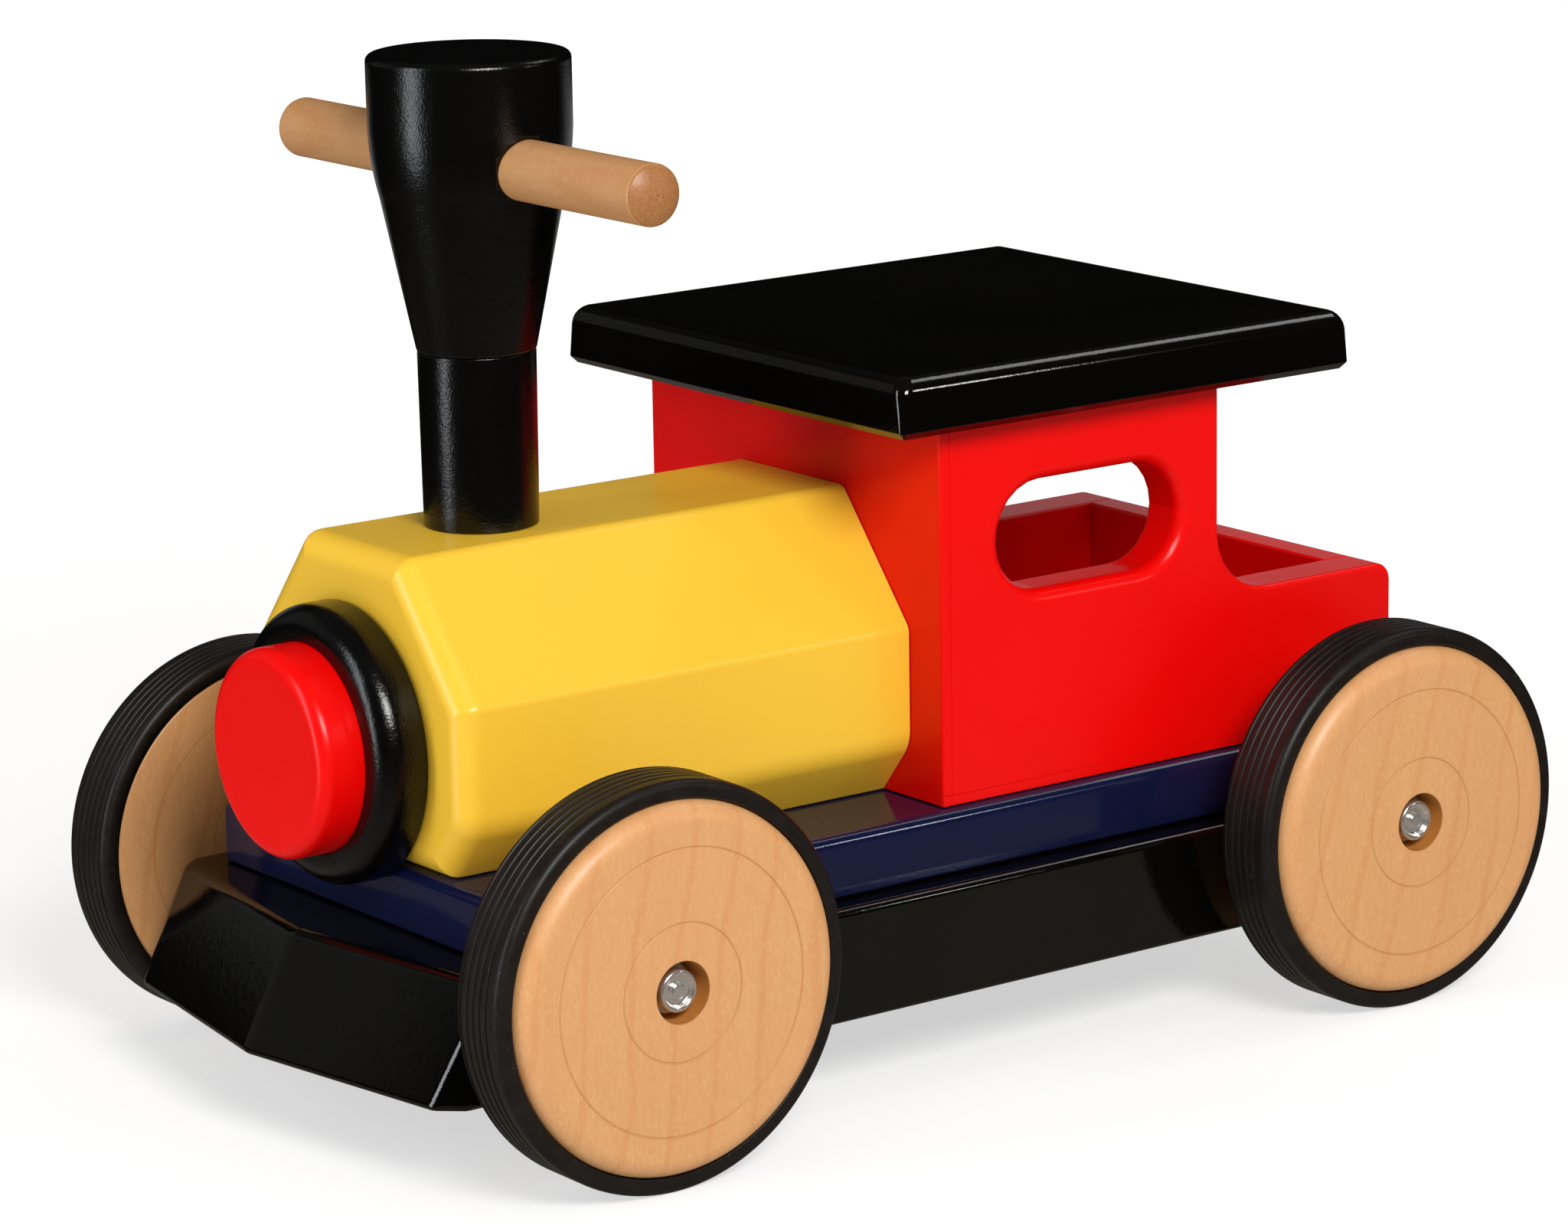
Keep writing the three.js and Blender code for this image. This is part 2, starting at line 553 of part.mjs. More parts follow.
// Side board: tall over the cab, then a quarter-round step down to the bunker,
// with an oblong window hole. Drawn in X and Z and drawn out across Y.
function sideBoard() {
  const right = THREE.MathUtils.degToRad(90);
  const frontX = PANEL_BACK_X - GAP;
  const outline = new THREE.Shape();
  outline.moveTo(BUNKER_REAR_X, WALL_BOTTOM_Z);
  outline.lineTo(frontX, WALL_BOTTOM_Z);
  outline.lineTo(frontX, CAB_TOP_Z);
  outline.lineTo(CAB_REAR_X, CAB_TOP_Z);
  outline.absarc(CAB_REAR_X - SIDE_FILLET, BUNKER_TOP_Z + SIDE_FILLET, SIDE_FILLET, 0, -right, true);
  const cornerX = BUNKER_REAR_X + BUNKER_CORNER_ROUND;
  outline.absarc(cornerX, BUNKER_TOP_Z - BUNKER_CORNER_ROUND, BUNKER_CORNER_ROUND, right, 2 * right, false);
  const hole = new THREE.Path();
  hole.absarc(WINDOW_X + WINDOW_STRAIGHT / 2, WINDOW_Z, WINDOW_R, -right, right, false);
  hole.absarc(WINDOW_X - WINDOW_STRAIGHT / 2, WINDOW_Z, WINDOW_R, right, 3 * right, false);
  outline.holes.push(hole);
  const settings = { depth: SIDE_THICKNESS, bevelEnabled: false, curveSegments: 8 };
  return new THREE.ExtrudeGeometry(outline, settings).rotateX(Math.PI / 2);
}

const ROOF_DOWEL_BOTTOM_Z = CAB_TOP_Z - ROOF_DOWEL_HALF_LENGTH;
const ROOF_DOWEL_TOP_Z = CAB_TOP_Z + ROOF_DOWEL_HALF_LENGTH;
const roofDowels = SIDES.flatMap(([sideName, side]) => [
  { name: `roof_dowel_front_${sideName}`, x: ROOF_DOWEL_XS[0], y: side * SIDE_MIDDLE_Y },
  { name: `roof_dowel_rear_${sideName}`, x: ROOF_DOWEL_XS[1], y: side * SIDE_MIDDLE_Y },
]);
const roofDowelHoles = roofDowels.map(({ x, y }) => (
  uprightRod(ROOF_DOWEL_R + GAP, ROOF_DOWEL_BOTTOM_Z - GAP, ROOF_DOWEL_TOP_Z + GAP, x, y)
));
for (const [name, outerY] of [['cab_side_left', CAB_HALF_WIDTH], ['cab_side_right', -SIDE_INNER_Y]]) {
  const body = sideBoard().translate(0, outerY, 0);
  place(name, cut(body, ...roofDowelHoles, ...deckScrewHoles), RED_LACQUER);
}

// The rear board stands between the side boards, and its top edge is rounded with theirs.
function rearBoard() {
  const right = THREE.MathUtils.degToRad(90);
  const halfLength = SIDE_INNER_Y - GAP;
  const cornerX = BUNKER_REAR_X + BUNKER_CORNER_ROUND;
  const outline = new THREE.Shape();
  outline.moveTo(BUNKER_REAR_X, WALL_BOTTOM_Z);
  outline.lineTo(BUNKER_REAR_X + REAR_BOARD_THICKNESS, WALL_BOTTOM_Z);
  outline.lineTo(BUNKER_REAR_X + REAR_BOARD_THICKNESS, BUNKER_TOP_Z);
  outline.absarc(cornerX, BUNKER_TOP_Z - BUNKER_CORNER_ROUND, BUNKER_CORNER_ROUND, right, 2 * right, false);
  const settings = { depth: 2 * halfLength, bevelEnabled: false, curveSegments: 8 };
  return new THREE.ExtrudeGeometry(outline, settings).rotateX(Math.PI / 2).translate(0, halfLength, 0);
}
place('bunker_rear_board', rearBoard(), RED_LACQUER);

// ---------------------------------------------------------------------- roof
// Two slabs share the outline: one has the round top edge and one the chamfered
// lower edge. Each runs on past the other's edge, and the roof is their overlap.
const roundTopped = board(
  [ROOF_REAR_X, -ROOF_HALF_WIDTH, ROOF_BOTTOM_Z - OVERRUN],
  [ROOF_FRONT_X, ROOF_HALF_WIDTH, ROOF_TOP_Z],
  ROOF_TOP_ROUND,
  3,
);
const chamferedBelow = board(
  [ROOF_REAR_X, -ROOF_HALF_WIDTH, ROOF_BOTTOM_Z],
  [ROOF_FRONT_X, ROOF_HALF_WIDTH, ROOF_TOP_Z + OVERRUN],
  ROOF_BOTTOM_CHAMFER,
  1,
);
place('roof_seat', cut(common(roundTopped, chamferedBelow), ...roofDowelHoles), BLACK_LACQUER);
for (const { name, x, y } of roofDowels) {
  place(name, uprightRod(ROOF_DOWEL_R, ROOF_DOWEL_BOTTOM_Z, ROOF_DOWEL_TOP_Z, x, y), BEECH);
}

// ----------------------------------------------------------- axles and wheels
// Every turned piece below has its axis on Y. Heights are distances out from the
// centre line, and the right-hand ones are turned half round about Z.
const BORE_R = AXLE_R + BORE_CLEARANCE;
const RECESS_FLOOR_Y = DISC_OUTER_Y - HUB_RECESS_DEPTH;
const TYRE_CORNER_R = TYRE_R / Math.cos(Math.PI / WHEEL_SEGMENTS); // the facets' flats touch TYRE_R
const TYRE_BORE_R = DISC_R + GAP;
const TYRE_INNER_Y = DISC_INNER_Y - TYRE_PROUD;
const WASHER_BOTTOM_Y = RECESS_FLOOR_Y + GAP;
const CAP_BOTTOM_Y = WASHER_BOTTOM_Y + WASHER_THICKNESS + GAP;
const CAP_SOCKET_Y = AXLE_HALF_LENGTH + GAP;
const CAP_TOP_Y = CAP_BOTTOM_Y + CAP_HEIGHT;

const discProfile = [
  [BORE_R, DISC_INNER_Y],
  [DISC_R - DISC_BACK_CHAMFER, DISC_INNER_Y],
  [DISC_R, DISC_INNER_Y + DISC_BACK_CHAMFER],
  ...arc([DISC_R - DISC_EDGE_ROUND, DISC_OUTER_Y - DISC_EDGE_ROUND], DISC_EDGE_ROUND, 0, 90),
  [HUB_RECESS_R, DISC_OUTER_Y],
  [HUB_RECESS_R, RECESS_FLOOR_Y],
  [BORE_R, RECESS_FLOOR_Y],
  [BORE_R, DISC_INNER_Y],
];
const tyreProfile = [
  [TYRE_BORE_R, TYRE_INNER_Y],
  [TYRE_CORNER_R - TYRE_SHOULDER, TYRE_INNER_Y],
  [TYRE_CORNER_R, TYRE_INNER_Y + TYRE_SHOULDER],
  [TYRE_CORNER_R, TYRE_OUTER_Y - TYRE_SHOULDER],
  [TYRE_CORNER_R - TYRE_SHOULDER, TYRE_OUTER_Y],
  [TYRE_BORE_R, TYRE_OUTER_Y],
  [TYRE_BORE_R, TYRE_INNER_Y],
];
const capProfile = [
  [0, CAP_SOCKET_Y],
  [AXLE_R + GAP, CAP_SOCKET_Y],
  [AXLE_R + GAP, CAP_BOTTOM_Y],
  [CAP_R, CAP_BOTTOM_Y],
  [CAP_R, CAP_TOP_Y - CAP_WALL],
  [CAP_R - CAP_WALL, CAP_TOP_Y],
  [CAP_R - 2 * CAP_WALL, CAP_TOP_Y],
  [CAP_R - 3 * CAP_WALL, CAP_TOP_Y - CAP_WALL],
  [0, CAP_TOP_Y - CAP_WALL],
];

// A plain collar on the axle, from one distance out to another.
function collar(outerR, fromY, toY) {
  const profile = [[BORE_R, fromY], [outerR, fromY], [outerR, toY], [BORE_R, toY], [BORE_R, fromY]];
  return turned(profile, PIN_SEGMENTS);
}

for (const [endName, axleX] of [['front', FRONT_AXLE_X], ['rear', REAR_AXLE_X]]) {
  const axle = place(`${endName}_axle`, rod(AXLE_R, 2 * AXLE_HALF_LENGTH, PIN_SEGMENTS), STEEL);
  axle.position.set(axleX, 0, AXLE_Z);
  for (const [sideName, side] of SIDES) {
    const corner = new THREE.Group();
    corner.position.set(axleX, 0, AXLE_Z);
    corner.rotation.z = side === 1 ? 0 : Math.PI;
    locomotive.add(corner);
    const suffix = `${endName}_${sideName}`;
    const spacer = collar(SPACER_R, CHASSIS_HALF_WIDTH + GAP, DISC_INNER_Y - GAP);
    const washer = collar(WASHER_R, WASHER_BOTTOM_Y, WASHER_BOTTOM_Y + WASHER_THICKNESS);
    place(`wheel_spacer_${suffix}`, spacer, NYLON, corner);
    place(`wheel_disc_${suffix}`, turned(discProfile, WHEEL_SEGMENTS), MAPLE, corner);
    place(`tyre_${suffix}`, turned(tyreProfile, WHEEL_SEGMENTS), RUBBER, corner);
    place(`hub_washer_${suffix}`, washer, STEEL, corner);
    place(`axle_cap_${suffix}`, turned(capProfile, PIN_SEGMENTS), CHROME, corner);
  }
}

export default locomotive;
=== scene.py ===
"""Lacquered wooden ride-on toy steam locomotive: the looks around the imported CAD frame.

+X is forward, +Y is the left side and +Z is up. Shapes are given in millimetres and
built in metres, and their places come from the boxes of the CAD nodes.
"""

import json
import math

import bmesh
import bpy
from mathutils import Matrix, Vector


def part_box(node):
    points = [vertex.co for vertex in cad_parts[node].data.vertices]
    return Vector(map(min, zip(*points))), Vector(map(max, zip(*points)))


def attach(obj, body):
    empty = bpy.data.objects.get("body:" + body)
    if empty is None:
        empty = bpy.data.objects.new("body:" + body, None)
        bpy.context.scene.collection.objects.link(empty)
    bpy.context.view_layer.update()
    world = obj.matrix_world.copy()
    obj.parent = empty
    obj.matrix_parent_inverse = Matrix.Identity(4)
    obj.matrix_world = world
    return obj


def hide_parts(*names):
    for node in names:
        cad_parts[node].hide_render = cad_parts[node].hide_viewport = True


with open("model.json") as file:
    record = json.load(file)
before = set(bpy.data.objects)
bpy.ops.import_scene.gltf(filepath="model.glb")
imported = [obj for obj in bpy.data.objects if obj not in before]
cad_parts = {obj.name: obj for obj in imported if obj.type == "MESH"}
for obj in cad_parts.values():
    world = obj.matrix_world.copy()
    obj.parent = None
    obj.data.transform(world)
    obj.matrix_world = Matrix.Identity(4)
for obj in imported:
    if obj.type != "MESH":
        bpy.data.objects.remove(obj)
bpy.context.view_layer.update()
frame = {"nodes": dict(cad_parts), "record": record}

MM = 0.001
# Facets in a rounded edge, and what counts as the same point or as a point on the lathe's axis.
ARC_STEPS, SAME_POINT, ON_AXIS = 6, 1e-5, 1e-6
ENDS = ("front", "rear")
SIDES = (("left", 1), ("right", -1))
CORNERS = [(end, side_name, side) for end in ENDS for side_name, side in SIDES]


def node_box(node):
    """Lowest and highest corner of a CAD node, in millimetres."""
    low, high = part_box(node)
    return [value / MM for value in low], [value / MM for value in high]


# ------------------------------------------------------------------ mesh tools
def finish_piece(name, shape, material, body, replaced):
    """Turns a bmesh in millimetres into a smooth-shaded piece that rides on a body."""
    bmesh.ops.remove_doubles(shape, verts=shape.verts, dist=SAME_POINT)
    bmesh.ops.recalc_face_normals(shape, faces=shape.faces)
    bmesh.ops.scale(shape, vec=(MM, MM, MM), verts=shape.verts)
    for face in shape.faces:
        face.smooth = True
    mesh = bpy.data.meshes.new(name)
    shape.to_mesh(mesh)
    shape.free()
    mesh.materials.append(material)
    piece = bpy.data.objects.new(name, mesh)
    bpy.context.scene.collection.objects.link(piece)
    weighted = piece.modifiers.new("flat_faces_stay_flat", "WEIGHTED_NORMAL")
    weighted.weight = 100
    weighted.keep_sharp = True
    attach(piece, body)
    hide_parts(replaced)


def arc(centre, radius, start, end, steps=ARC_STEPS):
    """Points on a circular arc between two angles in degrees."""
    points = []
    for i in range(steps + 1):
        angle = math.radians(start + (end - start) * i / steps)
        points.append((centre[0] + radius * math.cos(angle), centre[1] + radius * math.sin(angle)))
    return points


def corner_between(before, here, after, inset_before, inset_after):
    """Where two outline edges meet once each has moved inwards by its own inset."""
    along_before = (here - before).normalized()
    along_after = (after - here).normalized()
    in_before = Vector((-along_before.y, along_before.x))
    in_after = Vector((-along_after.y, along_after.x))
    turn = in_before.x * in_after.y - in_before.y * in_after.x
    shift = Vector((
        (inset_before * in_after.y - inset_after * in_before.y) / turn,
        (inset_after * in_before.x - inset_before * in_after.x) / turn,
    ))
    return here + shift, along_before, along_after, turn


def outline(corners, inset, smallest=0.4):
    """A filleted outline, anticlockwise, moved inwards by inset.

    A corner is (x, y, fillet radius, share), where share is how much of the inset the
    edge that leaves it takes.
    """
    points = []
    count = len(corners)
    for i, (x, y, radius, share) in enumerate(corners):
        before, after = corners[i - 1], corners[(i + 1) % count]
        inset_before, inset_after = inset * before[3], inset * share
        corner, along_before, along_after, turn = corner_between(
            Vector(before[:2]), Vector((x, y)), Vector(after[:2]), inset_before, inset_after
        )
        side = 1 if turn > 0 else -1
        mean_inset = (inset_before + inset_after) / 2
        fillet = max(radius - side * mean_inset, smallest)
        bend = along_before.angle(along_after)
        start = corner - along_before * fillet * math.tan(bend / 2)
        centre = start + Vector((-along_before.y, along_before.x)) * side * fillet
        spoke = start - centre
        for k in range(ARC_STEPS + 1):
            angle = side * bend * k / ARC_STEPS
            cosine, sine = math.cos(angle), math.sin(angle)
            spun = Vector((spoke.x * cosine - spoke.y * sine, spoke.x * sine + spoke.y * cosine))
            points.append(centre + spun)
    return points


def edge_levels(low, high, round_low, round_high):
    """(height, inset) pairs that round the lower and upper edge of a drawn-out outline."""
    angles = [math.radians(90 * k / ARC_STEPS) for k in range(ARC_STEPS + 1)]
    quarter = [(1 - math.cos(angle), 1 - math.sin(angle)) for angle in angles]
    lower = [(low + round_low * rise, round_low * inset) for rise, inset in quarter]
    upper = [(high - round_high * rise, round_high * inset) for rise, inset in reversed(quarter)]
    return lower + upper


def chamfer_levels(height, size, soft=0.4):
    """(height, inset) pairs for a chamfered lower edge with slightly softened corners."""
    return [
        (height, size + soft),
        (height + 0.15 * soft, size + 0.3 * soft),
        (height + 0.3 * soft, size),
        (height + size, 0.3 * soft),
        (height + size + 0.4 * soft, 0.1 * soft),
        (height + size + soft, 0),
    ]


PLANES = {
    "xy": lambda u, v, h: (u, v, h),
    "xz": lambda u, v, h: (u, h, v),
    "yz": lambda u, v, h: (h, u, v),
}


def add_walls(mesh, corners, levels, plane):
    """Adds the walls of a drawn-out outline and returns its two open end loops.

    The corners may also be a function of the height, for fillets that grow along an edge.
    """
    place = PLANES[plane]
    at_height = corners if callable(corners) else lambda height: corners
    loops = [
        [mesh.verts.new(place(p.x, p.y, height)) for p in outline(at_height(height), inset)]
        for height, inset in levels
    ]
    for lower, upper in zip(loops, loops[1:]):
        for i in range(len(lower)):
            j = (i + 1) % len(lower)
            mesh.faces.new((lower[i], lower[j], upper[j], upper[i]))
    return loops[0], loops[-1]


def drawn_out(corners, levels, plane="xy"):
    """A solid from a filleted outline and the (height, inset) levels of its edges."""
    mesh = bmesh.new()
    for loop in add_walls(mesh, corners, levels, plane):
        mesh.faces.new(loop)
    return mesh


def drawn_out_with_window(corners, window, levels, window_levels, plane):
    """A drawn-out solid with one rounded window through it."""
    mesh = bmesh.new()
    ends = zip(add_walls(mesh, corners, levels, plane), add_walls(mesh, window, window_levels, plane))
    for outer, inner in ends:
        edges = []
        for loop in (outer, inner):
            edges += [mesh.edges.get((loop[i - 1], loop[i])) for i in range(len(loop))]
        bmesh.ops.triangle_fill(mesh, edges=edges, use_beauty=True)
    return mesh


def board_outline(low, high, fillet):
    """The four corners of a board's outline."""
    return [
        (low[0], low[1], fillet, 1),
        (high[0], low[1], fillet, 1),
        (high[0], high[1], fillet, 1),
        (low[0], high[1], fillet, 1),
    ]


def board(low, high, fillet, round_low, round_high):
    """A flat board with rounded edges, from its lowest and highest corners."""
    levels = edge_levels(low[2], high[2], round_low, round_high)
    return drawn_out(board_outline(low, high, fillet), levels)


AXES = {
    "x": Matrix.Rotation(math.radians(90), 3, "Y"),
    "y": Matrix.Rotation(math.radians(-90), 3, "X"),
    "-y": Matrix.Rotation(math.radians(90), 3, "X"),
    "z": Matrix.Identity(3),
}


def turned(profile, segments, axis, centre):
    """A lathe-turned piece from (radius, height) pairs; a closed profile makes a ring."""
    mesh = bmesh.new()
    turn = AXES[axis]
    rings = []
    for radius, height in profile:
        if radius < ON_AXIS:
            rings.append([mesh.verts.new(turn @ Vector((0, 0, height)) + Vector(centre))])
            continue
        ring = []
        for i in range(segments):
            angle = 2 * math.pi * i / segments
            point = Vector((radius * math.cos(angle), radius * math.sin(angle), height))
            ring.append(mesh.verts.new(turn @ point + Vector(centre)))
        rings.append(ring)
    for lower, upper in zip(rings, rings[1:]):
        for i in range(segments):
            j = (i + 1) % segments
            if len(lower) == 1:
                mesh.faces.new((lower[0], upper[i], upper[j]))
            elif len(upper) == 1:
                mesh.faces.new((lower[i], lower[j], upper[0]))
            else:
                mesh.faces.new((lower[i], lower[j], upper[j], upper[i]))
    return mesh


def drilled(mesh, cutters):
    """The mesh with every cutter taken out of it."""
    holders = []
    for source in (mesh, *cutters):
        bmesh.ops.recalc_face_normals(source, faces=source.faces)
        data = bpy.data.meshes.new("blank_or_cutter")
        source.to_mesh(data)
        source.free()
        holder = bpy.data.objects.new("blank_or_cutter", data)
        bpy.context.scene.collection.objects.link(holder)
        holders.append(holder)
    blank, *tools = holders
    for tool in tools:
        cut = blank.modifiers.new("cut", "BOOLEAN")
        cut.operation = "DIFFERENCE"
        cut.solver = "EXACT"
        cut.object = tool
    graph = bpy.context.evaluated_depsgraph_get()
    result = bmesh.new()
    result.from_mesh(blank.evaluated_get(graph).to_mesh())
    for holder in holders:
        bpy.data.objects.remove(holder)
    return result


# ------------------------------------------------------------------- materials
# How far a drawn ring or line fades on each side of its edge.
EDGE_SOFT = 0.3


class Nodes:
    """Short names for building one material's node tree."""

    def __init__(self, name):
        self.material = bpy.data.materials.new(name)
        self.material.use_nodes = True
        self.tree = self.material.node_tree
        self.shader = self.tree.nodes["Principled BSDF"]
        self.place = self.add("ShaderNodeTexCoord").outputs["Object"]

    def add(self, kind, **settings):
        """A new node with some of its settings."""
        node = self.tree.nodes.new(kind)
        for key, value in settings.items():
            setattr(node, key, value)
        return node

    def join(self, source, target):
        """Links an output to an input."""
        self.tree.links.new(source, target)

    def placed(self, scale=(1, 1, 1), turn=(0, 0, 0), shift=(0, 0, 0)):
        """The object coordinates, scaled, turned and shifted."""
        mapping = self.add("ShaderNodeMapping")
        mapping.inputs["Scale"].default_value = scale
        mapping.inputs["Rotation"].default_value = turn
        mapping.inputs["Location"].default_value = shift
        self.join(self.place, mapping.inputs["Vector"])
        return mapping.outputs["Vector"]

    def noise(self, scale, detail=2.0, rough=0.5, where=None, distortion=0.0):
        """Solid noise with a scale in features per metre."""
        noise = self.add("ShaderNodeTexNoise")
        noise.inputs["Scale"].default_value = scale
        noise.inputs["Detail"].default_value = detail
        noise.inputs["Roughness"].default_value = rough
        noise.inputs["Distortion"].default_value = distortion
        self.join(where or self.place, noise.inputs["Vector"])
        return noise.outputs["Fac"]

    def ramp(self, value, stops):
        """A colour for a value, from (position, colour) stops."""
        ramp = self.add("ShaderNodeValToRGB")
        elements = ramp.color_ramp.elements
        while len(elements) < len(stops):
            elements.new(0.5)
        for element, (position, colour) in zip(elements, stops):
            element.position = position
            element.color = (*colour, 1)
        self.join(value, ramp.inputs["Fac"])
        return ramp.outputs["Color"]

    def spread(self, value, low, high, start=0.0, end=1.0):
        """Low where the value is at start, high where it is at end, held beyond them."""
        reach = self.add("ShaderNodeMapRange")
        reach.inputs["From Min"].default_value = start
        reach.inputs["From Max"].default_value = end
        reach.inputs["To Min"].default_value = low
        reach.inputs["To Max"].default_value = high
        self.join(value, reach.inputs["Value"])
        return reach.outputs["Result"]

    def mix(self, share, first, second, blend="MIX"):
        """The first colour with a share of the second."""
        mix = self.add("ShaderNodeMix", data_type="RGBA", blend_type=blend)
        for label, source in (("Factor", share), ("A", first), ("B", second)):
            sockets = [s for s in mix.inputs if s.name == label and s.enabled]
            if isinstance(source, bpy.types.NodeSocket):
                self.join(source, sockets[0])
            else:
                sockets[0].default_value = source
        return [s for s in mix.outputs if s.enabled][0]

    def add_up(self, first, second, weight):
        """The first value plus the second times a weight."""
        total = self.add("ShaderNodeMath", operation="MULTIPLY_ADD")
        self.join(second, total.inputs[0])
        total.inputs[1].default_value = weight
        self.join(first, total.inputs[2])
        return total.outputs["Value"]

    def bump(self, height, strength, distance, under=None):
        """A normal from a height, over another normal if there is one."""
        bump = self.add("ShaderNodeBump")
        bump.inputs["Strength"].default_value = strength
        bump.inputs["Distance"].default_value = distance
        self.join(height, bump.inputs["Height"])
        if under:
            self.join(under, bump.inputs["Normal"])
        return bump.outputs["Normal"]

    def around_axle(self, axle, radius):
        """1 nearer to the wheel's axle than a radius in millimetres, 0 farther out."""
        flat = self.placed((1, 0, 1))
        away = self.add("ShaderNodeVectorMath", operation="DISTANCE")
        self.join(flat, away.inputs[0])
        away.inputs[1].default_value = [value * MM for value in axle]
        start, end = (radius - EDGE_SOFT) * MM, (radius + EDGE_SOFT) * MM
        return self.spread(away.outputs["Value"], 1.0, 0.0, start, end)

    def set(self, **values):
        """Links or sets the shader's own sockets."""
        for label, value in values.items():
            socket = self.shader.inputs[label.replace("_", " ")]
            if isinstance(value, bpy.types.NodeSocket):
                self.join(value, socket)
            else:
                socket.default_value = value


def lacquer(name, base, deep, roughness, peel, specular, grain=0.0):
    """Sprayed lacquer: faint clouding, orange peel, uneven gloss and any wood grain that shows."""
    n = Nodes(name)
    cloud = n.noise(14, 3, 0.55)
    colour = n.ramp(cloud, [(0.3, deep), (0.7, base)])
    fine = n.noise(1150, 2, 0.6)
    broad = n.noise(240, 2, 0.5)
    wood = n.noise(90, 4, 0.6, n.placed((0.12, 1, 1)))
    height = n.add_up(fine, broad, 0.9)
    height = n.add_up(height, wood, grain)
    n.set(
        Base_Color=colour,
        Roughness=n.spread(n.noise(45, 2, 0.4), roughness * 0.88, roughness * 1.12),
        Normal=n.bump(height, peel, 0.00012),
        Specular_IOR_Level=specular,
    )
    return n.material


def maple(name, along, seed_shift, tone=1.0, axle=None, ends=None):
    """Clear-lacquered maple: soft growth lines, fine pores and lighter speckle along the grain, partly
    painted glint of the wood's shimmer.

    Round an axle, the hub hole is darkened with painted shade and the turned lines carry painted
    shade. On a bar, the ends are darker: end grain, deepened with painted shade.
    """
    n = Nodes(name)

    def drawn_along(squeeze):
        return tuple(squeeze if axis == along else 1 for axis in "xyz")

    lengthwise = n.placed(drawn_along(0.08), shift=seed_shift)
    silky = n.placed(drawn_along(0.5))
    tilt = (0.30, 0.16 + 0.1 * seed_shift[1], 0.0)
    tilted = n.placed(turn=tilt, shift=(0.034 + 0.01 * seed_shift[0], 0.02, 0.0))
    lines = n.add("ShaderNodeTexWave", wave_type="BANDS", bands_direction="X")
    lines.inputs["Scale"].default_value = 15
    lines.inputs["Distortion"].default_value = 7.0
    lines.inputs["Detail"].default_value = 2
    lines.inputs["Detail Scale"].default_value = 0.55
    lines.inputs["Detail Roughness"].default_value = 0.4
    n.join(tilted, lines.inputs["Vector"])
    bands = n.noise(75, 3, 0.55, lengthwise, 0.5)
    fine = n.noise(900, 4, 0.7, lengthwise)
    fleck_glint = n.noise(850, 3, 0.6, silky)
    mottle = n.noise(380, 3, 0.6, silky)
    blush = n.noise(21, 2, 0.5)

    def shade(*colour):
        return tuple(channel * tone for channel in colour)

    colour = n.ramp(bands, [(0.3, shade(0.655, 0.33, 0.130)), (0.7, shade(0.69, 0.36, 0.148))])
    line = n.spread(lines.outputs["Fac"], 0.0, 0.34, 0.9, 1.0)
    colour = n.mix(line, colour, (*shade(0.58, 0.23, 0.065), 1))
    colour = n.mix(n.spread(fine, 0.0, 0.22, 0.45, 0.75), colour, (*shade(0.56, 0.23, 0.07), 1))
    colour = n.mix(n.spread(mottle, 0.0, 0.36, 0.46, 0.68), colour, (*shade(0.64, 0.29, 0.115), 1))
    # Lighter flecks along the grain: partly the wood's figure, partly painted glint of its shimmer.
    colour = n.mix(n.spread(fleck_glint, 0.0, 0.34, 0.50, 0.72), colour, (*shade(0.80, 0.49, 0.25), 1))
    colour = n.mix(n.spread(blush, 0.0, 0.30, 0.45, 0.7), colour, (*shade(0.70, 0.33, 0.15), 1))
    # Painted shade: the whole hub hole, wall and floor, is darkened to stand for the shade inside it.
    if axle:
        colour = n.mix(n.around_axle(axle, HUB_R + 0.2), colour, (0.40, 0.14, 0.016, 1))
        # Painted shade: a darker ring in each turned line stands for the shade inside the groove.
        for radius in TURNED_LINES:
            outside = n.around_axle(axle, radius + 0.45)
            inside = n.around_axle(axle, radius - 0.15)
            groove_shade = n.add("ShaderNodeMath", operation="SUBTRACT")
            n.join(outside, groove_shade.inputs[0])
            n.join(inside, groove_shade.inputs[1])
            strength = n.spread(groove_shade.outputs["Value"], 0.0, 0.5)
            colour = n.mix(strength, colour, (0.42, 0.17, 0.035, 1))
    # The bar's ends: darker end grain, deepened further with painted shade against the light falling on
    # them.
    if ends:
        apart = n.add("ShaderNodeSeparateXYZ")
        n.join(n.place, apart.inputs["Vector"])
        outward = n.add("ShaderNodeMath", operation="ABSOLUTE")
        n.join(apart.outputs["Y"], outward.inputs[0])
        start, end = (ends - EDGE_SOFT) * MM, (ends + EDGE_SOFT) * MM
        end_grain_and_shade = n.spread(outward.outputs["Value"], 0.0, 0.9, start, end)
        pores = n.ramp(n.noise(1500, 2, 0.6), [(0.35, (0.26, 0.095, 0.024)), (0.65, (0.38, 0.16, 0.050))])
        colour = n.mix(end_grain_and_shade, colour, pores)
    n.set(
        Base_Color=colour,
        Roughness=n.spread(fine, 0.32, 0.46),
        Normal=n.bump(fine, 0.16, 0.00008, n.bump(n.noise(240, 2), 0.10, 0.0001)),
        Specular_IOR_Level=0.45,
    )
    return n.material


def bare_beech():
    """Unfinished dowel wood with short dark flecks."""
    n = Nodes("bare_beech")
    grain = n.noise(420, 4, 0.65, n.placed((1, 1, 0.12)))
    colour = n.ramp(grain, [(0.35, (0.52, 0.31, 0.15)), (0.65, (0.72, 0.5, 0.28))])
    n.set(
        Base_Color=colour,
        Roughness=n.spread(grain, 0.5, 0.72),
        Normal=n.bump(grain, 0.4, 0.0001),
    )
    return n.material


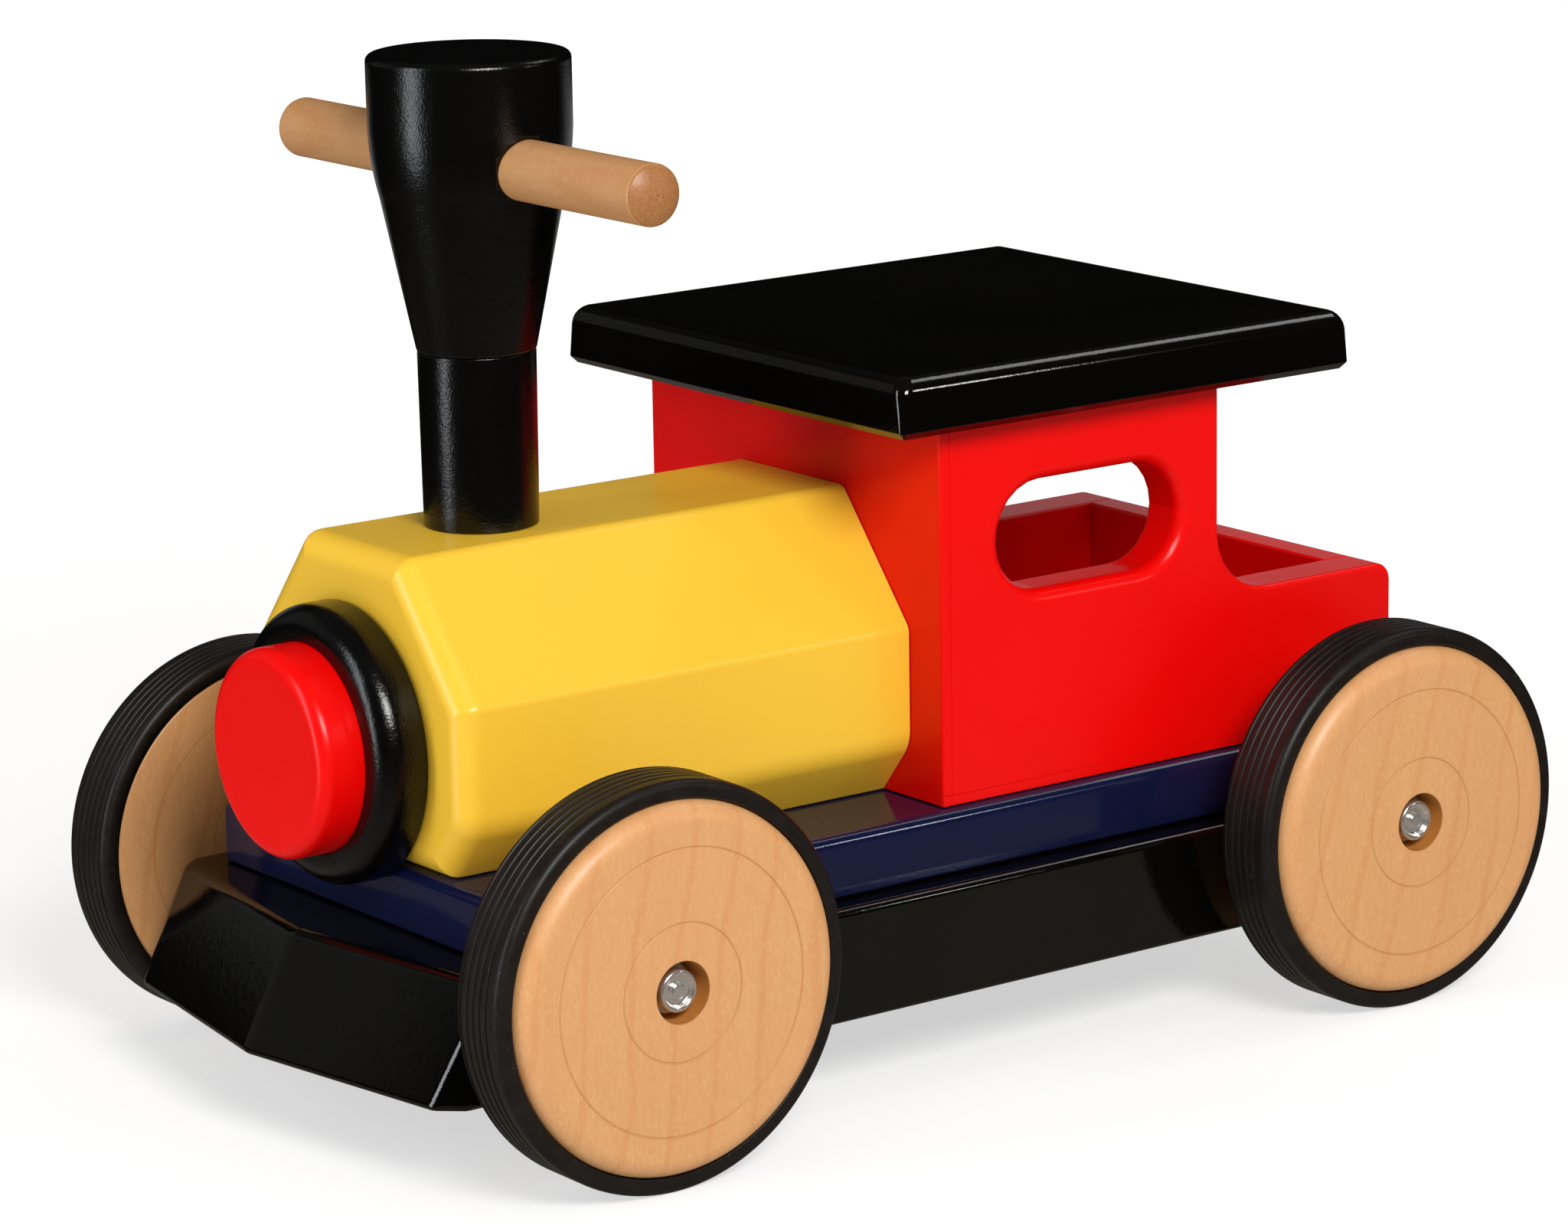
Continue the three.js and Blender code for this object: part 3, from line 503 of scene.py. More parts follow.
def rubber():
    """Matte tyre rubber with fine moulding texture and dust in the surface."""
    n = Nodes("tyre_rubber")
    dust = n.noise(120, 5, 0.7)
    colour = n.ramp(dust, [(0.35, (0.0080, 0.0058, 0.0046)), (0.75, (0.0135, 0.0105, 0.0090))])
    lint = n.noise(520, 1, 0.5)
    colour = n.mix(n.spread(lint, 0.0, 0.5, 0.74, 0.8), colour, (0.06, 0.055, 0.05, 1))
    n.set(
        Base_Color=colour,
        Roughness=n.spread(dust, 0.34, 0.5),
        Normal=n.bump(n.noise(1400, 3, 0.6), 0.15, 0.0001),
        Specular_IOR_Level=0.25,
    )
    return n.material


def metal(name, bright, dark, metallic, roughness, scratch, stretch=(1, 1, 1)):
    """Plated metal with fine scratches, drawn out along an axis where it is stretched."""
    n = Nodes(name)
    scratches = n.noise(900, 4, 0.7, n.placed(stretch))
    colour = n.ramp(scratches, [(0.3, dark), (0.7, bright)])
    n.set(
        Base_Color=colour,
        Metallic=metallic,
        Roughness=n.spread(scratches, roughness * 0.75, roughness * 1.35),
        Normal=n.bump(scratches, scratch, 0.00003),
    )
    return n.material


def nylon():
    """Moulded black nylon."""
    n = Nodes("black_nylon")
    mottled = n.noise(300, 3, 0.6)
    colour = n.ramp(mottled, [(0.3, (0.018, 0.017, 0.016)), (0.7, (0.034, 0.032, 0.030))])
    n.set(
        Base_Color=colour,
        Roughness=n.spread(mottled, 0.4, 0.58),
        Normal=n.bump(n.noise(1800, 2), 0.2, 0.00005),
    )
    return n.material


def floor_tone(n, stops):
    """A grey that depends on the distance from the middle, from (metres, grey) stops."""
    away = n.add("ShaderNodeVectorMath", operation="LENGTH")
    n.join(n.place, away.inputs[0])
    farthest = stops[-1][0]
    return n.ramp(
        n.spread(away.outputs["Value"], 0.0, 1.0, 0.0, farthest),
        [(distance / farthest, (grey,) * 3) for distance, grey in stops],
    )


def pale_floor():
    """Matte pale floor paint with very faint clouding, evenly lit into the distance."""
    n = Nodes("pale_floor")
    tone = n.ramp(n.noise(3, 3, 0.5), [(0.3, (0.46, 0.46, 0.46)), (0.7, (0.48, 0.48, 0.48))])
    n.set(
        Base_Color=tone,
        Roughness=0.9,
        Specular_IOR_Level=0.1,
        Emission_Color=floor_tone(n, [(0.3, 0.60), (0.8, 0.70), (2.5, 0.94)]),
        Emission_Strength=1.0,
    )
    return n.material


def mirrored_floor():
    """What the lacquer mirrors of the floor: pale round the model and dark farther out."""
    n = Nodes("mirrored_floor")
    tone = floor_tone(n, [(0.35, 0.21), (0.62, 0.09), (1.1, 0.0)])
    warm = (1.0, 0.90, 0.76, 1)
    n.set(
        Base_Color=(0, 0, 0, 1),
        Specular_IOR_Level=0.0,
        Emission_Color=n.mix(1.0, tone, warm, "MULTIPLY"),
        Emission_Strength=1.0,
    )
    return n.material


# Wheel faces: the hub hole and the two turned lines. Bar: how far its ends are domed.
HUB_R, TURNED_LINES, DOME_HEIGHT = 11.3, (52.1, 25.2), 3.5
AXLE_X = {end: sum(corner[0] for corner in node_box(f"{end}_axle")) / 2 for end in ENDS}
AXLE_Z = sum(corner[2] for corner in node_box("front_axle")) / 2

BLACK = lacquer(
    "black_lacquer",
    base=(0.0020, 0.0018, 0.0012),
    deep=(0.0012, 0.0011, 0.0008),
    roughness=0.07,
    peel=0.2,
    specular=0.5,
)
SATIN_BLACK = lacquer(
    "satin_black_lacquer",
    base=(0.0022, 0.0021, 0.0019),
    deep=(0.0014, 0.0013, 0.0012),
    roughness=0.19,
    peel=0.9,
    specular=0.4,
)
RED = lacquer(
    "red_lacquer",
    base=(0.80, 0.0016, 0.0010),
    deep=(0.76, 0.0013, 0.0008),
    roughness=0.26,
    peel=0.03,
    specular=0.22,
    grain=0.3,
)
YELLOW = lacquer(
    "yellow_lacquer",
    base=(0.86, 0.525, 0.040),
    deep=(0.84, 0.51, 0.037),
    roughness=0.28,
    peel=0.015,
    specular=0.4,
)
NAVY = lacquer(
    "navy_lacquer",
    base=(0.0050, 0.0075, 0.036),
    deep=(0.0044, 0.0066, 0.032),
    roughness=0.10,
    peel=0.12,
    specular=0.4,
)
BAR_END = node_box("handlebar")[1][1] - DOME_HEIGHT
BAR_MAPLE = maple("clear_maple_bar", "y", (0.3, 0.1, 0.7), tone=0.78, ends=BAR_END)
# Each disc is cut from its own place in the wood, so that no two show the same grain.
DISC_MAPLES = []
for i, (end, side_name, _) in enumerate(CORNERS):
    axle = (AXLE_X[end], 0, AXLE_Z)
    shift = (0.37 * i, 0.61 * i, 0.23 * i)
    DISC_MAPLES.append(maple(f"clear_maple_{end}_{side_name}", "z", shift, tone=0.96, axle=axle))
BEECH = bare_beech()
RUBBER = rubber()
CHROME = metal(
    "chrome_cap",
    bright=(0.94, 0.90, 0.86),
    dark=(0.90, 0.86, 0.82),
    metallic=0.9,
    roughness=0.19,
    scratch=0.004,
)
ZINC = metal(
    "zinc_steel",
    bright=(0.62, 0.62, 0.60),
    dark=(0.42, 0.42, 0.41),
    metallic=1.0,
    roughness=0.34,
    scratch=0.08,
    stretch=(1, 0.1, 1),
)
NYLON = nylon()

SLOT_MATERIALS = {
    "black_lacquer": BLACK,
    "red_lacquer": RED,
    "yellow_lacquer": YELLOW,
    "navy_lacquer": NAVY,
    "clear_maple": BAR_MAPLE,
    "bare_beech": BEECH,
    "rubber_tread": RUBBER,
    "chrome_cap": CHROME,
    "zinc_steel": ZINC,
    "nylon_spacer": NYLON,
}
# CAD nodes that no piece stands for, such as screws and dowels, wear their slot's material.
for part in frame["record"]["subparts"]:
    cad_node = frame["nodes"][part["node"]]
    cad_node.data.materials.clear()
    cad_node.data.materials.append(SLOT_MATERIALS[part["material_slot"]])


def add(name, mesh, slot, body="chassis", material=None):
    """Adds the piece that stands for the CAD node of this name."""
    finish_piece(f"{name}_shape", mesh, material or SLOT_MATERIALS[slot], body, name)


# ------------------------------------------------------------ chassis and deck
# Bores and counterbores, with how far their cutters reach past the wood.
AXLE_R, AXLE_CLEARANCE, AXLE_SIDES = 5, 0.4, 40
SCREW_HEAD_R, SCREW_HEAD_HEIGHT, SCREW_CLEARANCE, SCREW_SIDES = 4.4, 3, 0.3, 32
PAST_SIDES, PAST_UNDERSIDE = 150, 5


def round_bar(radius, bottom, top):
    """The lathe profile of a plain round bar."""
    return [(0, bottom), (radius, bottom), (radius, top), (0, top)]


def axle_cutters():
    """The two axle bores, right across the chassis."""
    profile = round_bar(AXLE_R + AXLE_CLEARANCE, -PAST_SIDES, PAST_SIDES)
    return [turned(profile, AXLE_SIDES, "y", (x, 0, AXLE_Z)) for x in AXLE_X.values()]


def head_cutter(node, underside):
    """The counterbore under one CAD screw."""
    low, high = node_box(node)
    top = low[2] + SCREW_HEAD_HEIGHT + SCREW_CLEARANCE
    profile = round_bar(SCREW_HEAD_R + SCREW_CLEARANCE, underside - PAST_UNDERSIDE, top)
    return turned(profile, SCREW_SIDES, "z", ((low[0] + high[0]) / 2, (low[1] + high[1]) / 2, 0))


for side_name, _ in SIDES:
    name = f"chassis_rail_{side_name}"
    low, high = node_box(name)
    rail = board(low, high, fillet=2, round_low=2, round_high=3)
    heads = [head_cutter(f"rail_screw_{end}_{side_name}", low[2]) for end in ENDS]
    add(name, drilled(rail, axle_cutters() + heads), "black_lacquer")

low, high = node_box("chassis_rear_block")
rear_block = board(low, high, fillet=1, round_low=1.5, round_high=1)
heads = [head_cutter(f"rear_block_screw_{side_name}", low[2]) for side_name, _ in SIDES]
add("chassis_rear_block", drilled(rear_block, heads), "black_lacquer")

# Cowcatcher: where its brow starts, how far its screws reach and how its edges are rounded.
BROW_FROM_X, SCREW_ZONE, NOSE_LENGTH, SAME_LEVEL = 221, 30, 60, 0.01
BROW_ROUND, BROW_STEPS, NOSE_ROUND, NOSE_STEPS = 6.5, 9, 3.2, 6
FLAT_WITHIN, EDGE_OVER = math.radians(1.5), math.radians(12)


def runs_along_brow(edge, top):
    """Whether an edge is where the cowcatcher's top turns down into its sloping front."""
    first, second = (vertex.co for vertex in edge.verts)
    level = abs(first.z - top) < SAME_LEVEL and abs(second.z - top) < SAME_LEVEL
    return level and min(first.x, second.x) > BROW_FROM_X


def soften(mesh, edges, width, steps):
    """Rounds some edges of a mesh."""
    bmesh.ops.bevel(
        mesh, geom=edges, offset=width, segments=steps, profile=0.5, affect="EDGES", clamp_overlap=True
    )


def cowcatcher():
    """The sloping nose block: its CAD corners, softly rounded.

    Rounding takes a little off the tip, so the nose is then eased out to its full length.
    """
    source = frame["nodes"]["cowcatcher"].data
    mesh = bmesh.new()
    low, high = node_box("cowcatcher")
    for vertex in source.vertices:
        point = vertex.co / MM
        on_face = min(abs(point.z - low[2]), abs(point.z - high[2])) < SAME_LEVEL
        if on_face or point.x > low[0] + SCREW_ZONE:
            mesh.verts.new(point)
    hull = bmesh.ops.convex_hull(mesh, input=mesh.verts)
    spare = [v for v in hull["geom_interior"] + hull["geom_unused"] if isinstance(v, bmesh.types.BMVert)]
    bmesh.ops.delete(mesh, geom=list(set(spare)), context="VERTS")
    bmesh.ops.dissolve_limit(mesh, angle_limit=FLAT_WITHIN, verts=mesh.verts, edges=mesh.edges)
    brow = [e for e in mesh.edges if runs_along_brow(e, high[2])]
    soften(mesh, brow, BROW_ROUND, BROW_STEPS)
    corners = [e for e in mesh.edges if e.calc_face_angle(0) > EDGE_OVER]
    soften(mesh, corners, NOSE_ROUND, NOSE_STEPS)
    reach = max(vertex.co.x for vertex in mesh.verts)
    root = high[0] - NOSE_LENGTH
    for vertex in mesh.verts:
        share = max(0, (vertex.co.x - root) / (reach - root))
        vertex.co.x += share * (high[0] - reach)
    return drilled(mesh, [head_cutter(f"nose_screw_{side_name}", low[2]) for side_name, _ in SIDES])


add("cowcatcher", cowcatcher(), "black_lacquer")

low, high = node_box("deck")
deck = board(low, high, fillet=3, round_low=1.2, round_high=4.6)
add("deck", drilled(deck, axle_cutters()), "navy_lacquer")

# ---------------------------------------------------------------------- boiler
low, high = node_box("boiler")
FOOT_HALF, UPPER_Z, LOWER_Z, TOP_HALF = 55.5, 166.5, 121.7, 33
half_section = [
    (FOOT_HALF, low[2], 2),
    (high[1], LOWER_Z, 16),
    (high[1], UPPER_Z, 5),
    (TOP_HALF, high[2], 6),
]
section = [(y, z, fillet, 1) for y, z, fillet in half_section]
section += [(-y, z, fillet, 1) for y, z, fillet in reversed(half_section)]
boiler_levels = edge_levels(low[0], high[0], 0.4, 9.5)
add("boiler", drawn_out(section, boiler_levels, "yz"), "yellow_lacquer")

# -------------------------------------------------------------- smokebox front
low, high = node_box("smokebox_ring")
ring_r = (high[2] - low[2]) / 2
ring_thickness = high[0] - low[0]
ring_centre = (low[0], 0, (high[2] + low[2]) / 2)
door_low, door_high = node_box("smokebox_door")
DOOR_R = (door_high[2] - door_low[2]) / 2
door_thickness = door_high[0] - door_low[0]
SEAT_GAP, SEAT_EDGE, RING_BORE_R, FRONT_SIDES = 0.3, 0.6, 7, 128
RING_BACK_ROUND, RING_FRONT_ROUND, DOOR_BACK_EDGE, DOOR_FRONT_ROUND = 2, 9, 0.4, 5.5
SEAT_R = DOOR_R + SEAT_GAP
seat_floor = door_low[0] - low[0] - SEAT_GAP
ring_profile = [
    (RING_BORE_R, 0),
    *arc((ring_r - RING_BACK_ROUND, RING_BACK_ROUND), RING_BACK_ROUND, -90, 0),
    *arc((ring_r - RING_FRONT_ROUND, ring_thickness - RING_FRONT_ROUND), RING_FRONT_ROUND, 0, 90, 12),
    *arc((SEAT_R + SEAT_EDGE, ring_thickness - SEAT_EDGE), SEAT_EDGE, 90, 180, 3),
    (SEAT_R, seat_floor),
    (RING_BORE_R, seat_floor),
    (RING_BORE_R, 0),
]
ring = turned(ring_profile, FRONT_SIDES, "x", ring_centre)
add("smokebox_ring", ring, "black_lacquer", material=SATIN_BLACK)
door_profile = [
    (0, 0),
    (DOOR_R - DOOR_BACK_EDGE, 0),
    (DOOR_R, DOOR_BACK_EDGE),
    *arc((DOOR_R - DOOR_FRONT_ROUND, door_thickness - DOOR_FRONT_ROUND), DOOR_FRONT_ROUND, 0, 90, 10),
    (0, door_thickness),
]
door_centre = (door_low[0], 0, ring_centre[2])
add("smokebox_door", turned(door_profile, FRONT_SIDES, "x", door_centre), "red_lacquer")

# --------------------------------------------------------------------- chimney
low, high = node_box("chimney_stack")
chimney_x = (low[0] + high[0]) / 2
stack_height = high[2] - low[2]
STACK_FOOT_R, STACK_TOP_R, STACK_BORE_R = 21.2, 21.8, 8.5
STACK_FOOT_EDGE, STACK_TOP_ROUND, STACK_SIDES = 0.4, 0.6, 112
stack_profile = [
    (STACK_BORE_R, 0),
    (STACK_FOOT_R - STACK_FOOT_EDGE, 0),
    (STACK_FOOT_R, STACK_FOOT_EDGE),
    *arc((STACK_TOP_R - STACK_TOP_ROUND, stack_height - STACK_TOP_ROUND), STACK_TOP_ROUND, 0, 90, 4),
    (STACK_BORE_R, stack_height),
    (STACK_BORE_R, 0),
]
stack = turned(stack_profile, STACK_SIDES, "z", (chimney_x, 0, low[2]))
add("chimney_stack", stack, "black_lacquer", material=SATIN_BLACK)

low, high = node_box("chimney_head")
head_height = high[2] - low[2]
HEAD_R = (high[1] - low[1]) / 2
HEAD_FOOT_R, SHOULDER_Z, BAR_Z, BAR_R = 22.1, 349, 349.3, 11.2
HEAD_FOOT_ROUND, HEAD_TOP_ROUND, HEAD_SIDES = 0.6, 2.6, 128
# The bend between flare and drum: where it starts and ends round the shoulder, and its middle.
FLARE_INSET, KNEE_BELOW, KNEE_ABOVE, KNEE_INSET, KNEE_STEPS = 3.6, 12, 13, 0.5, 12
shoulder = SHOULDER_Z - low[2]


def smooth_head():
    """The head's outside: a straight flare that eases into an upright drum."""
    points = [(0, 0), (HEAD_FOOT_R - HEAD_FOOT_ROUND, 0)]
    points += arc((HEAD_FOOT_R - HEAD_FOOT_ROUND, HEAD_FOOT_ROUND), HEAD_FOOT_ROUND, -90, 0, 4)
    flare_end = Vector((HEAD_R - FLARE_INSET, shoulder - KNEE_BELOW))
    knee = Vector((HEAD_R - KNEE_INSET, shoulder - KNEE_INSET))
    drum_start = Vector((HEAD_R, shoulder + KNEE_ABOVE))
    for k in range(KNEE_STEPS + 1):
        t = k / KNEE_STEPS
        spot = flare_end * (1 - t) ** 2 + knee * 2 * t * (1 - t) + drum_start * t ** 2
        points.append((spot.x, spot.y))
    points += arc((HEAD_R - HEAD_TOP_ROUND, head_height - HEAD_TOP_ROUND), HEAD_TOP_ROUND, 0, 90, 8)
    points.append((0, head_height))
    return points


bar_low, bar_high = node_box("handlebar")
bar_half = (bar_high[1] - bar_low[1]) / 2
HOLE_CLEARANCE, PAST_HEAD, HOLE_SIDES = 0.25, 60, 96
hole_profile = round_bar(BAR_R + HOLE_CLEARANCE, -PAST_HEAD, PAST_HEAD)
bar_hole = turned(hole_profile, HOLE_SIDES, "y", (chimney_x, 0, BAR_Z))
head = turned(smooth_head(), HEAD_SIDES, "z", (chimney_x, 0, low[2]))
add("chimney_head", drilled(head, [bar_hole]), "black_lacquer", material=SATIN_BLACK)

# Domed ends with a crisp edge and the small pip that a lathe centre leaves.
CRISP_EDGE, EDGE_LENGTH, PIP_FROM, PIP_DEPTH, DOME_STEPS, BAR_SIDES = 0.25, 0.8, 88, 0.5, 14, 72
dome_r = (BAR_R ** 2 + DOME_HEIGHT ** 2) / (2 * DOME_HEIGHT)
dome_from = 90 - math.degrees(math.asin((BAR_R - CRISP_EDGE) / dome_r))
dome_profile = arc((0, bar_half - dome_r), dome_r, dome_from, PIP_FROM, DOME_STEPS)
edge_y = bar_half - DOME_HEIGHT - EDGE_LENGTH
half_bar = [(BAR_R, edge_y), *dome_profile, (0, bar_half - PIP_DEPTH)]
bar_profile = [(radius, -y) for radius, y in reversed(half_bar)] + half_bar
add("handlebar", turned(bar_profile, BAR_SIDES, "y", (chimney_x, 0, BAR_Z)), "clear_maple")

# -------------------------------------------------------------- cab and bunker
low, high = node_box("cab_floor")
# Boards that are glued together touch here. In the CAD they keep this gap.
WOOD_JOINT = 0.3
floor_top = [*high[:2], high[2] + WOOD_JOINT]
add("cab_floor", board(low, floor_top, fillet=1, round_low=0.5, round_high=0.15), "red_lacquer")

low, high = node_box("cab_front_panel")
panel_corners = [
    (low[1], low[2], 0.5, 0.15),
    (high[1], low[2], 0.5, 1),
    (high[1], high[2], 0.5, 0),
    (low[1], high[2], 0.5, 1),
]
panel_levels = edge_levels(low[0] - WOOD_JOINT, high[0], 0.15, 1.4)
add("cab_front_panel", drawn_out(panel_corners, panel_levels, "yz"), "red_lacquer")

CAB_REAR_X, BUNKER_TOP_Z, BUNKER_CORNER, FILLET_R = -130.3, 162, 7, 25
WINDOW_X, WINDOW_Z, WINDOW_R, WINDOW_STRAIGHT = -67.4, 197.9, 20.9, 46.4
OUTER_ROUND, INNER_ROUND = 1.8, 1.2
WINDOW_OUTER_ROUND, WINDOW_INNER_ROUND = 5.5, 1.5
# A hair less than a half circle, so that the window's two fillets don't meet in one point.
WINDOW_FILLET = WINDOW_R - 0.01
for side_name, side in SIDES:
    name = f"cab_side_{side_name}"
    low, high = node_box(name)
    side_corners = [
        (low[0], low[2], 1, 0.1),
        (high[0], low[2], 0.5, 0.1),
        (high[0], high[2], 0.5, 0),
        (CAB_REAR_X, high[2], 0.5, 1),
        (CAB_REAR_X, BUNKER_TOP_Z, FILLET_R, 1),
        (low[0], BUNKER_TOP_Z, BUNKER_CORNER, 1),
    ]
    half_window = WINDOW_STRAIGHT / 2 + WINDOW_R
    window_corners = [
        (WINDOW_X + u * half_window, WINDOW_Z + v * WINDOW_R, WINDOW_FILLET, -1)
        for u, v in ((-1, -1), (1, -1), (1, 1), (-1, 1))
    ]
    rounds = (INNER_ROUND, OUTER_ROUND)[::side]
    window_rounds = (WINDOW_INNER_ROUND, WINDOW_OUTER_ROUND)[::side]
    levels = edge_levels(low[1], high[1], *rounds)
    window_levels = edge_levels(low[1], high[1], *window_rounds)
    walls = drawn_out_with_window(side_corners, window_corners, levels, window_levels, "xz")
    add(name, walls, "red_lacquer")

low, high = node_box("bunker_rear_board")
rear_corners = [
    (low[0], low[2], 0.5, 1),
    (high[0], low[2], 0.5, 1),
    (high[0], high[2], 1.2, 1),
    (low[0], high[2], BUNKER_CORNER, 1),
]
rear_levels = edge_levels(low[1] - WOOD_JOINT, high[1] + WOOD_JOINT, 0.15, 0.15)
add("bunker_rear_board", drawn_out(rear_corners, rear_levels, "xz"), "red_lacquer")

# ------------------------------------------------------------------------ roof
low, high = node_box("roof_seat")
ROOF_CHAMFER, ROOF_ROUND, ROOF_FILLET, ROOF_FILLET_GROWTH = 2.6, 7, 2.4, 5
# The lower edge is chamfered, so only the second half of the rounded levels is taken.
upper_levels = edge_levels(low[2], high[2], 0, ROOF_ROUND)[ARC_STEPS + 1:]
roof_levels = chamfer_levels(low[2], ROOF_CHAMFER) + upper_levels


def roof_outline(height):
    """The roof's outline: its upright corners are sanded rounder towards the top."""
    share = (height - low[2]) / (high[2] - low[2])
    return board_outline(low, high, ROOF_FILLET + ROOF_FILLET_GROWTH * share ** 2)


add("roof_seat", drawn_out(roof_outline, roof_levels), "black_lacquer")

# ---------------------------------------------------------------------- wheels
disc_low, disc_high = node_box("wheel_disc_front_left")
tyre_low, tyre_high = node_box("tyre_front_left")
cap_low, cap_high = node_box("axle_cap_front_left")
DISC_R, TYRE_R, BORE_R, HUB_FLOOR, CAP_R = 68, 75, 5.4, 141, 7.8
TYRE_FIT, EASED_R = 0.15, DISC_R + 1.2
WHEEL_SIDES, CAP_SIDES = 144, 56
BORE_EDGE, HUB_EDGE, DISC_BACK_ROUND, DISC_FACE_ROUND = 0.4, 0.5, 1.5, 7.5
GROOVE_DEPTH, GROOVE_HALF, GROOVE_STEPS = 0.35, 0.45, 4
inner_y, face_y = disc_low[1], disc_high[1]


def turned_line(radius):
    """A fine turned groove in the wheel face, as a run of profile points."""
    points = []
    for k in range(GROOVE_STEPS + 1):
        share = -1 + 2 * k / GROOVE_STEPS
        points.append((radius - share * GROOVE_HALF, face_y - GROOVE_DEPTH * (1 - share * share)))
    return points


disc_profile = [
    (BORE_R, inner_y),
    (BORE_R + BORE_EDGE, inner_y),
    (DISC_R - DISC_BACK_ROUND, inner_y),
    *arc((DISC_R - DISC_BACK_ROUND, inner_y + DISC_BACK_ROUND), DISC_BACK_ROUND, -90, 0, 4),
    *arc((DISC_R - DISC_FACE_ROUND, face_y - DISC_FACE_ROUND), DISC_FACE_ROUND, 0, 90, 14),
    *turned_line(TURNED_LINES[0]),
    *turned_line(TURNED_LINES[1]),
    *arc((HUB_R + HUB_EDGE, face_y - HUB_EDGE), HUB_EDGE, 90, 180, 4),
    (HUB_R, HUB_FLOOR),
    (BORE_R, HUB_FLOOR),
    (BORE_R, inner_y),
]

# The tread: its grooves, with (distance from the middle, depth) of one half groove.
TREAD_GROOVES, FIRST_GROOVE, GROOVE_PITCH = 5, 3.6, 3.9
HALF_GROOVE = [(0.8, 0), (0.5, 0.2), (0.35, 0.8)]
INNER_SHOULDER, OUTER_SHOULDER, EASED_EDGE = 3, 3.2, 0.7


def tyre_profile(low_y, high_y):
    """A grooved tread between two rounded shoulders, with the edge at the disc's face eased."""
    bore = DISC_R + TYRE_FIT
    points = [(bore, low_y)]
    points += arc((TYRE_R - INNER_SHOULDER, low_y + INNER_SHOULDER), INNER_SHOULDER, -90, 0, 6)
    for i in range(TREAD_GROOVES):
        middle = low_y + FIRST_GROOVE + GROOVE_PITCH * i
        points += [(TYRE_R - depth, middle - away) for away, depth in HALF_GROOVE]
        points += [(TYRE_R - depth, middle + away) for away, depth in reversed(HALF_GROOVE)]
    points += arc((TYRE_R - OUTER_SHOULDER, high_y - OUTER_SHOULDER), OUTER_SHOULDER, 0, 90, 7)
    points.append((EASED_R, high_y))
    points += arc((EASED_R, high_y - EASED_EDGE), EASED_EDGE, 90, 160, 3)
    points += [(bore, high_y - 1.5), (bore, low_y)]
    return points


CAP_BORE_DEPTH, CAP_FOOT_EDGE, CAP_RIM, DISH_DEPTH = 3, 0.3, 1, 1.9
DISH_OUTER_ROUND, DISH_INNER_ROUND, BOSS_R, BOSS_ROUND, BOSS_BELOW_RIM = 1.1, 0.6, 3, 0.8, 0.1


def cap_profile(bottom, top, radius):
    """A pressed push-on cap: rolled rim, dished ring and a flat-topped boss."""
    bore, bore_end = AXLE_R + 0.2, bottom + CAP_BORE_DEPTH
    dish = top - DISH_DEPTH
    boss_top = top - BOSS_BELOW_RIM
    outer_x = radius - 2 * CAP_RIM - DISH_OUTER_ROUND
    inner_x = BOSS_R + DISH_INNER_ROUND
    points = [(0, bore_end), (bore, bore_end), (bore, bottom), (radius - CAP_FOOT_EDGE, bottom)]
    points.append((radius, bottom + CAP_FOOT_EDGE))
    points += arc((radius - CAP_RIM, top - CAP_RIM), CAP_RIM, 0, 180, 10)
    points += arc((outer_x, dish + DISH_OUTER_ROUND), DISH_OUTER_ROUND, -10, -90, 6)
    points += arc((inner_x, dish + DISH_INNER_ROUND), DISH_INNER_ROUND, -90, -180, 5)
    points += arc((BOSS_R - BOSS_ROUND, boss_top - BOSS_ROUND), BOSS_ROUND, 0, 90, 6)
    points += [(1.2, boss_top), (0, boss_top)]
    return points


for (end, side_name, side), wood in zip(CORNERS, DISC_MAPLES):
    suffix = f"{end}_{side_name}"
    centre = (AXLE_X[end], 0, AXLE_Z)
    axis = "y" if side == 1 else "-y"
    body = f"wheel_{suffix}"
    disc = turned(disc_profile, WHEEL_SIDES, axis, centre)
    add(f"wheel_disc_{suffix}", disc, "clear_maple", body=body, material=wood)
    tread = turned(tyre_profile(tyre_low[1], tyre_high[1]), WHEEL_SIDES, axis, centre)
    add(f"tyre_{suffix}", tread, "rubber_tread", body=body)
    cap = turned(cap_profile(cap_low[1], cap_high[1], CAP_R), CAP_SIDES, axis, centre)
    add(f"axle_cap_{suffix}", cap, "chrome_cap")

# ----------------------------------------------------------- floor and lighting
def floor_plane(name, half, height, material, shown):
    """A level plane that is seen either by the camera or in mirror reflections."""
    mesh = bmesh.new()
    bmesh.ops.create_grid(mesh, x_segments=8, y_segments=8, size=half)
    data = bpy.data.meshes.new(name)
    mesh.to_mesh(data)
    mesh.free()
    data.materials.append(material)
    plane = bpy.data.objects.new(name, data)
    plane.location.z = height
    bpy.context.scene.collection.objects.link(plane)
    plane.visible_camera = shown
    plane.visible_glossy = not shown
    plane.visible_diffuse = False
    plane.visible_shadow = False


LIT_POINT = Vector((0, 0, 0.18))


def direction(azimuth, elevation):
    """A unit vector from two angles in degrees. Azimuth 0 is ahead of the model, 90 its left."""
    a, e = math.radians(azimuth), math.radians(elevation)
    return Vector((math.cos(a) * math.cos(e), math.sin(a) * math.cos(e), math.sin(e)))


def softbox(name, azimuth, elevation, distance, size, power, tint=(1, 1, 1)):
    """A rectangular softbox that faces the model, with its size in metres and its power in watts."""
    away = direction(azimuth, elevation)
    data = bpy.data.lights.new(name, "AREA")
    data.shape = "RECTANGLE"
    data.size, data.size_y = size
    data.energy = power
    data.color = tint
    light = bpy.data.objects.new(name, data)
    light.location = LIT_POINT + away * distance
    light.rotation_euler = away.to_track_quat("Z", "Y").to_euler()
    light.visible_camera = False
    bpy.context.scene.collection.objects.link(light)


